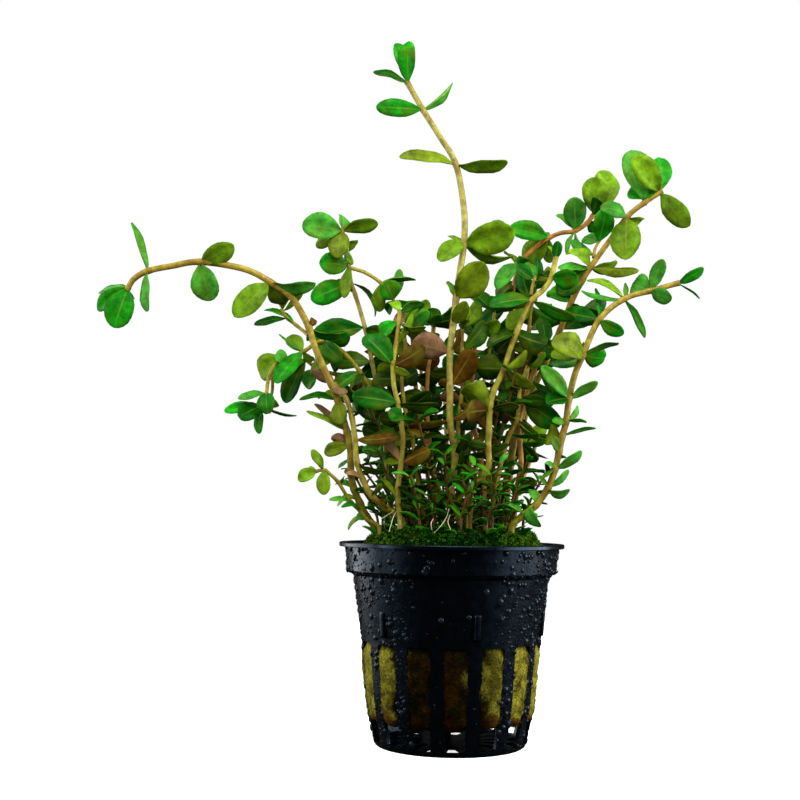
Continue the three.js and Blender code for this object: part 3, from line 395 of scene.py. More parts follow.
def skin(name: str, points: Iterable[Sequence[float]], faces: Faces, scale: float = 1.0,
         smooth: bool = True) -> Mesh:
    """A mesh from its corners and faces.

    Args:
        name: the mesh's name.
        points: the corners.
        faces: the faces' corner numbers, seen from outside anticlockwise.
        scale: the corners' unit, in metres.
        smooth: whether the faces are shaded smooth.

    Returns:
        The new mesh.
    """
    mesh = bpy.data.meshes.new(name)
    mesh.from_pydata([tuple(c * scale for c in point) for point in points], [], faces)
    mesh.polygons.foreach_set("use_smooth", [smooth] * len(mesh.polygons))
    mesh.update()
    return mesh


def circle(radius: float, height: float, count: int) -> list[Triple]:
    """So many corners round the upright axis, the first to the right."""
    turns = (FULL_TURN * k / count for k in range(count))
    return [(radius * math.cos(turn), radius * math.sin(turn), height) for turn in turns]


def belt(rings: int, count: int, first: int = 0) -> Faces:
    """The faces between rings of corners that follow one another.

    Args:
        rings: how many rings there are.
        count: how many corners each has.
        first: the first corner's number.

    Returns:
        The faces.
    """
    starts = range(first, first + (rings - 1) * count, count)
    steps = [(k, (k + 1) % count) for k in range(count)]
    return [(a + k, a + n, a + n + count, a + k + count) for a in starts for k, n in steps]


def fan(tip: int, first: int, count: int) -> Faces:
    """The faces between a tip and a ring of so many corners."""
    return [(tip, first + k, first + (k + 1) % count) for k in range(count)]


def mark(mesh: Mesh, name: str, values: Any, domain: str = "POINT", kind: str = "FLOAT") -> None:
    """Give a mesh an attribute.

    Args:
        mesh: the mesh.
        name: the attribute's name.
        values: its values.
        domain: what carries it.
        kind: its type.
    """
    layer = mesh.attributes.new(name, kind, domain)
    label = {"FLOAT": "value", "FLOAT_VECTOR": "vector", "FLOAT_COLOR": "color"}[kind]
    layer.data.foreach_set(label, np.asarray(values, np.float32).ravel())


def dust(columns: dict[str, tuple[str, Array]], spots: Array,
         edges: Iterable[tuple[int, int]]) -> Object:
    """An object of joined and loose points with attributes, for a recipe to work on.

    Args:
        columns: each attribute's type and values, by its name.
        spots: the points' places, in metres.
        edges: pairs of points to join.

    Returns:
        The new object.
    """
    mesh = bpy.data.meshes.new("points")
    mesh.from_pydata([tuple(p) for p in spots], list(edges), [])
    for name, (kind, values) in columns.items():
        mark(mesh, name, values, kind=kind)
    return stand("points", mesh)


def hand_in(name: str, mesh: Mesh, nodes: Sequence[str]) -> Object:
    """Put a finished piece into the scene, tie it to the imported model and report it.

    Args:
        name: the piece's name.
        mesh: its mesh.
        nodes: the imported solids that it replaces.

    Returns:
        The piece.
    """
    piece = stand(name, mesh)
    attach(piece, BODY)
    if nodes:
        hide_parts(*nodes)
    log.info("%s: %d triangles", name, sum(len(face.vertices) - 2 for face in mesh.polygons))
    return piece


@dataclass(frozen=True)
class View:
    """The front view that the shoots were read in, in quarter millimetres across and down."""

    eye: Triple = (-13.34, -324.4, 58.0)  # the eye point in millimetres
    tilt: float = 4.76  # how far it looks up, in degrees
    roll: float = 0.75  # how far the view leans, in degrees
    middle: float = 400.0  # the view's middle, across and down
    reach: float = 1291.0  # the distance at which one unit of the view is one unit wide
    width: float = 800.0  # how wide the view is

    def axes(self) -> tuple[Array, Array, Array]:
        """The view's directions.

        Returns:
            Its right, up and forward directions.
        """
        tilt, roll = math.radians(self.tilt), math.radians(self.roll)
        forward = np.array((0.0, math.cos(tilt), math.sin(tilt)))
        level = np.array((1.0, 0.0, 0.0))
        rise = np.array((0.0, -math.sin(tilt), math.cos(tilt)))
        right = level * math.cos(roll) + rise * math.sin(roll)
        return right, rise * math.cos(roll) - level * math.sin(roll), forward

    def sight(self, across: float, down: float, deep: float) -> Array:
        """Where a point of the view lies.

        Args:
            across: its place to the right of the view's left edge.
            down: its place below the view's top edge.
            deep: its depth behind the pot's axis, in millimetres.

        Returns:
            The place in millimetres.
        """
        right, up, forward = self.axes()
        ray = forward + right * (across - self.middle) / self.reach
        ray = ray + up * (self.middle - down) / self.reach
        eye = np.array(self.eye)
        return eye + ray * (deep - eye[1]) / ray[1]

    def line(self, text: str) -> list[Array]:
        """Where the points of a text lie: across, down and depth, with commas between points."""
        return [self.sight(*(float(number) for number in row.split())) for row in text.split(",")]

    def camera(self) -> None:
        """Set the scene's camera to this view."""
        data = bpy.data.cameras.new("front_view")
        data.sensor_width = 36.0
        data.lens = data.sensor_width * self.reach / self.width
        data.clip_start = 0.01
        made = stand("front_view", data)
        right, up, forward = self.axes()
        turn = Matrix((right, up, -forward)).transposed().to_4x4()
        made.matrix_world = Matrix.Translation(Vector(self.eye) * MM) @ turn
        bpy.context.scene.camera = made


VIEW = View()


class Tone(Enum):
    """The leaf's seen side, by the letter of its row: that side's colour and its other side's."""

    DEEP = ("d", colour(0.0022, 0.052, 0.001), colour(0.018, 0.07, 0.003))
    FERN = ("f", colour(0.004, 0.125, 0.002), colour(0.03, 0.12, 0.006))
    FRESH = ("g", colour(0.024, 0.145, 0.011), colour(0.05, 0.135, 0.014))
    LIME = ("l", colour(0.066, 0.142, 0.003), colour(0.065, 0.12, 0.007))
    OLIVE = ("o", colour(0.055, 0.086, 0.002), colour(0.04, 0.085, 0.004))
    SHADED = ("k", colour(0.006, 0.024, 0.0004), colour(0.018, 0.028, 0.0006))
    RUSSET = ("b", colour(0.042, 0.018, 0.001), colour(0.03, 0.03, 0.001))
    PINK = ("p", colour(0.12, 0.062, 0.032), colour(0.07, 0.075, 0.012))

    @classmethod
    def of(cls, letter: str) -> "Tone":
        """The tone with this letter."""
        return next(tone for tone in cls if tone.value[0] == letter)


@dataclass(frozen=True)
class Pairs:
    """Opposite leaves set evenly up a stem that the front view doesn't show clearly."""

    count: int  # how many pairs
    first: float  # the share of the route at which they start
    long: float  # the lowest pair's leaf length, in millimetres
    wide: float  # its width
    turn: float  # the first pair's turn round the stem, in degrees
    tones: str = "fdod"  # the letters of the tones that the leaves take in turn


def unit(vector: Array) -> Array:
    """The vector at length one."""
    return vector / np.linalg.norm(vector)


SAMPLE_RINGS = ((0.3, 0.6), (0.45, 0.9), (0.6, 1.0), (0.74, 0.92), (0.87, 0.64), (1.0, 0.0))
SAMPLE_ACROSS = (-1.0, -0.5, 0.0, 0.5, 1.0)


@dataclass
class Leaf:
    """One leaf's place and shape, in millimetres."""

    base: Array
    axis: Array
    normal: Array
    side: Array
    length: float
    wide: float
    bend: float
    tone: Tone

    @classmethod
    def aim(cls, base: Array, tip: Array, normal: Array, wide: float, bend: float,
            tone: Tone) -> "Leaf":
        """A leaf from its ends and the way that it faces.

        Args:
            base: where it leaves the stem's axis.
            tip: its tip.
            normal: the way that its upper side faces.
            wide: its width.
            bend: its arch, as a share of its length.
            tone: its colours.

        Returns:
            The leaf.
        """
        axis = tip - base
        length = float(np.linalg.norm(axis))
        axis = axis / length
        flat = unit(normal - axis * (normal @ axis))
        return cls(base, axis, flat, np.cross(flat, axis), length, wide, bend, tone)

    def spot(self, along: float, across: float) -> Array:
        """A place on the blade.

        Args:
            along: its share of the length.
            across: its share of the half width.

        Returns:
            The place.
        """
        rise = self.bend * self.length * 4 * along * (1 - along)
        reach = self.axis * along * self.length + self.side * across * self.wide / 2
        return self.base + reach + self.normal * rise

    def samples(self) -> Array:
        """The places that stand for the blade when room is made for it."""
        return np.array([self.spot(t, s * w) for t, w in SAMPLE_RINGS for s in SAMPLE_ACROSS])


@dataclass
class Route:
    """A smooth line through points in millimetres, of which the last ones were given."""

    points: list[Array]
    given: int

    @classmethod
    def through(cls, text: str, moss: "Moss") -> "Route":
        """The line of a shoot.

        Args:
            text: its points in the front view.
            moss: the moss, in which a shoot that starts low enough is planted.

        Returns:
            The route.
        """
        points = VIEW.line(text)
        given = len(points)
        if float(text.split()[1]) > moss.ground_line:
            x, y, _ = points[0]
            ground = moss.height(math.hypot(x, y), math.atan2(y, x))
            points.insert(0, np.array((x, y, ground - moss.socket)))
        return cls(points, given)

    def share_of(self, index: float) -> float:
        """The share of the line at a numbered point of its text."""
        return (index + len(self.points) - self.given) / (len(self.points) - 1)

    def at(self, share: float) -> Array:
        """A place on the line.

        Args:
            share: its share of the line.

        Returns:
            The place in millimetres.
        """
        last = len(self.points) - 1
        step = min(1.0, max(0.0, share)) * last
        k = min(int(step), last - 1)
        w = step - k
        p1, p2 = self.points[k], self.points[k + 1]
        p0 = self.points[k - 1] if k > 0 else 2 * p1 - p2
        p3 = self.points[k + 2] if k + 2 <= last else 2 * p2 - p1
        t0, t1 = (p2 - p0) / 2, (p3 - p1) / 2
        return p1 + t0 * w + (3 * (p2 - p1) - 2 * t0 - t1) * w**2 + (2 * (p1 - p2) + t0 + t1) * w**3

    def heading(self, share: float, step: float = 0.02) -> Array:
        """The way that the line runs at a share of it."""
        return unit(self.at(share + step) - self.at(share - step))

    def root(self, share: float, inset: float = 0.8) -> Array:
        """Where a leaf starts: on the line, and a little inside its ends."""
        inward = -inset if share > 0.999 else inset if share < 0.001 else 0.0
        return self.at(share) + self.heading(share) * inward

    def steps(self, each: int) -> Array:
        """Places along the line, so many for each of its spans."""
        count = (len(self.points) - 1) * each
        return np.array([self.at(k / count) for k in range(count + 1)])


@dataclass(frozen=True)
class Shoot:
    """One grown piece: a stem and its leaves."""

    node: str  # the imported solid's name
    radius: float  # the stem's radius in millimetres
    route: str  # the stem's points in the front view
    # the leaves' rows: the route's point, the tip across, down and past that point in depth, the width, the
    # turn from broadside in degrees, the arch, and the tone's letter
    leaves: str
    pairs: Pairs | None = None  # leaf pairs set by rule, or none

    @classmethod
    def read(cls, block: str) -> "Shoot":
        """A shoot from its block of the table.

        Args:
            block: its name and radius, route, leaves and pairs, with slashes between.

        Returns:
            The shoot.
        """
        head, route, leaves, rule = block.split("/")
        name, radius = head.split()
        count, *sizes = rule.split() or "0"
        pairs = Pairs(int(count), *(float(size) for size in sizes)) if sizes else None
        return cls(name, float(radius), route, leaves, pairs)

    def rows(self) -> list[tuple]:
        """The leaves' rows as numbers and the tone's letter."""
        rows = [row.split() for row in self.leaves.split(",") if row.strip()]
        return [(*(float(number) for number in row[:-1]), row[-1]) for row in rows]


@dataclass
class Room:
    """The places that grown parts hold, so that later leaves keep clear of them."""

    margin: float = 3.5  # how far past a leaf held places are looked for, in millimetres
    # for each place, where it is, how far other shoots' leaves stay off, how far the same shoot's leaves do,
    # and the shoot's number
    held: Array = field(default_factory=lambda: np.zeros((160000, 6)))
    size: int = 0  # how many places are held

    def take(self, spots: Array, keep: float, own: float, owner: int) -> None:
        """Hold places.

        Args:
            spots: the places.
            keep: how far other shoots' leaves stay off.
            own: how far the same shoot's leaves do.
            owner: the shoot's number.
        """
        end = self.size + len(spots)
        self.held[self.size : end, :3] = spots
        self.held[self.size : end, 3:] = keep, own, owner
        self.size = end

    def clear(self, spots: Array, owner: int, share: float) -> bool:
        """Whether places are free.

        Args:
            spots: the places.
            owner: the shoot's number.
            share: how much of each kept distance counts.

        Returns:
            True where nothing held is too near.
        """
        middle = spots.mean(axis=0)
        reach = np.linalg.norm(spots - middle, axis=1).max() + self.margin
        held = self.held[: self.size]
        near = held[((held[:, :3] - middle) ** 2).sum(axis=1) < reach**2]
        keep = np.where(near[:, 5] == owner, near[:, 4], near[:, 3]) * share
        gaps = ((spots[:, None] - near[None, :, :3]) ** 2).sum(axis=2)
        return bool((gaps >= keep**2).all())


@dataclass
class Growth:
    """Places every leaf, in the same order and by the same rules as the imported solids."""

    leaf_keep: float = 1.75  # how far leaves of two shoots stay apart, in millimetres
    stem_keep: float = 1.15  # how far a leaf stays off another shoot's stem
    own_keep: float = 0.75  # how far leaves of one shoot stay apart
    least_leaf: float = 3.3  # the narrowest leaf that the solids hold
    small_share: float = 0.45  # how much of those distances a smaller leaf keeps
    stem_share: float = 0.4  # how much of them a drawn shoot's stem keeps
    stem_steps: int = 8  # how many places a span of a stem holds
    opening: float = 64.0  # the angle between a paired leaf and its stem, in degrees
    pair_arch: float = 0.08  # a paired leaf's arch
    last_pair: float = 0.97  # the share of the route at which the last pair stands
    dwindle: float = 0.3  # how much smaller the last pair is
    scatter: float = 30.0  # how far a paired leaf's turn varies, in degrees
    sizes: Two = (0.85, 0.3)  # a paired leaf's least size, and how far it varies
    aside: Triple = (0.31, -0.95, 0.0)  # the way from which turns round a stem count
    # how far a seen leaf's tip may move in depth to find room
    depth_tries: tuple[float, ...] = (0, 1.5, -1.5, 3, -3, 4.5, -4.5, 6, -6, 8, -8)
    turn_tries: tuple[float, ...] = (0, 20, -20, 40, -40, 60)  # how far a paired leaf may turn to find room
    length_tries: tuple[float, ...] = (1, 0.8, 0.62)  # how much shorter it may be
    series: int = 5671  # where the fixed series of chances stands
    room: Room = field(default_factory=Room)
    lines: dict[str, Route] = field(default_factory=dict)
    grown: dict[str, list[tuple[Leaf, float]]] = field(default_factory=dict)
    numbers: dict[str, int] = field(default_factory=dict)

    def chance(self) -> float:
        """The next number of the fixed series, from 0 to 1."""
        self.series = (self.series * 4096 + 150889) % 714025
        return self.series / 714025

    def grow(self, shoots: Sequence[Shoot], moss: "Moss") -> None:
        """Place the leaves of all shoots.

        Args:
            shoots: the shoots in their order.
            moss: the moss that they stand in.
        """
        for number, shoot in enumerate(shoots):
            self.numbers[shoot.node] = number
            self.lines[shoot.node] = Route.through(shoot.route, moss)
            self.grown[shoot.node] = []
        packed = [shoot for shoot in shoots if shoot.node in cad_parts]
        paired = [shoot for shoot in packed if shoot.pairs]
        self.take_stems(packed)
        left = [
            (shoot, row) for shoot in packed for row in shoot.rows()
            if row[4] < self.least_leaf or not self.seen_leaf(shoot, row, 1.0)
        ]
        for shoot in paired:
            if shoot.pairs.wide >= self.least_leaf:
                self.pair_leaves(shoot, 1.0)
        young = [shoot for shoot in shoots if shoot not in packed and self.fits(shoot)]
        self.take_stems(young)
        for shoot, row in left:
            self.seen_leaf(shoot, row, self.small_share)
        for shoot in [shoot for shoot in paired if shoot.pairs.wide < self.least_leaf] + young:
            self.pair_leaves(shoot, self.small_share)

    def take_stems(self, shoots: Sequence[Shoot]) -> None:
        """Hold the stems' places.

        Args:
            shoots: the stems' shoots.
        """
        for shoot in shoots:
            steps = self.lines[shoot.node].steps(self.stem_steps)
            self.room.take(steps, shoot.radius + self.stem_keep, 0.0, self.numbers[shoot.node])

    def fits(self, shoot: Shoot) -> bool:
        """Whether a drawn shoot's stem has room among the others."""
        steps = self.lines[shoot.node].steps(self.stem_steps)
        return self.room.clear(steps, self.numbers[shoot.node], self.stem_share)

    def settle(self, shoot: Shoot, place: float, options: Iterable[Leaf], share: float) -> bool:
        """Keep the first option that has room.

        Args:
            shoot: the leaf's shoot.
            place: the share of the route at which it stands.
            options: the leaf's possible forms.
            share: how much of the kept distances counts.

        Returns:
            True where one had room.
        """
        number = self.numbers[shoot.node]
        for leaf in options:
            spots = leaf.samples()
            if self.room.clear(spots, number, share):
                self.room.take(spots, self.leaf_keep, self.own_keep, number)
                self.grown[shoot.node].append((leaf, place))
                return True
        return False

    def seen_leaf(self, shoot: Shoot, row: tuple, share: float) -> bool:
        """Place a leaf that was read in the front view.

        Args:
            shoot: the leaf's shoot.
            row: the leaf's row.
            share: how much of the kept distances counts.

        Returns:
            True where it had room.
        """
        index, across, down, deep, wide, face, bend, letter = row
        line = self.lines[shoot.node]
        place = line.share_of(index)
        base = line.root(place)
        turn = math.radians(face)

        def option(shift: float) -> Leaf:
            """The leaf with its tip moved in depth.

            Args:
                shift: how far it is moved.

            Returns:
                The leaf.
            """
            tip = VIEW.sight(across, down, base[1] + deep + shift)
            axis = unit(tip - base)
            to_eye = unit(np.array(VIEW.eye) - base)
            facing = unit(to_eye - axis * (to_eye @ axis))
            normal = facing * math.cos(turn) + np.cross(axis, facing) * math.sin(turn)
            return Leaf.aim(base, tip, normal, wide, bend, Tone.of(letter))

        return self.settle(shoot, place, map(option, self.depth_tries), share)

    def pair_leaves(self, shoot: Shoot, share: float) -> None:
        """Place the pairs that a shoot has by rule.

        Args:
            shoot: the shoot.
            share: how much of the kept distances counts.
        """
        rule, line = shoot.pairs, self.lines[shoot.node]
        tries = [(turn, less) for less in self.length_tries for turn in self.turn_tries]
        least, spread = self.sizes
        for k in range(rule.count):
            place = rule.first + (self.last_pair - rule.first) * k / (rule.count - 1)
            for half in range(2):
                turn = rule.turn + 90 * k + 180 * half + self.scatter * (self.chance() - 0.5)
                scale = (1 - self.dwindle * k / rule.count) * (least + spread * self.chance())
                letter = rule.tones[(k + 2 * half + self.numbers[shoot.node]) % len(rule.tones)]
                options = (
                    self.paired(line, place, turn + more, rule, scale * less, Tone.of(letter))
                    for more, less in tries
                )
                self.settle(shoot, place, options, share)

    def paired(self, line: Route, place: float, turn: float, rule: Pairs, scale: float,
               tone: Tone) -> Leaf:
        """A leaf of an opposite pair.

        Args:
            line: the stem's line.
            place: the share of it at which the leaf stands.
            turn: its turn round the stem, in degrees.
            rule: the pairs' sizes.
            scale: its share of them.
            tone: its colours.

        Returns:
            The leaf.
        """
        base, heading, opening = line.at(place), line.heading(place), math.radians(self.opening)
        level = unit(np.cross(np.array(self.aside), heading))
        out = np.array(Matrix.Rotation(math.radians(turn), 3, Vector(heading)) @ Vector(level))
        reach = heading * math.cos(opening) + out * math.sin(opening)
        normal = heading * math.sin(opening) - out * math.cos(opening)
        tip = base + reach * rule.long * scale
        return Leaf.aim(base, tip, normal, rule.wide * scale, self.pair_arch, tone)


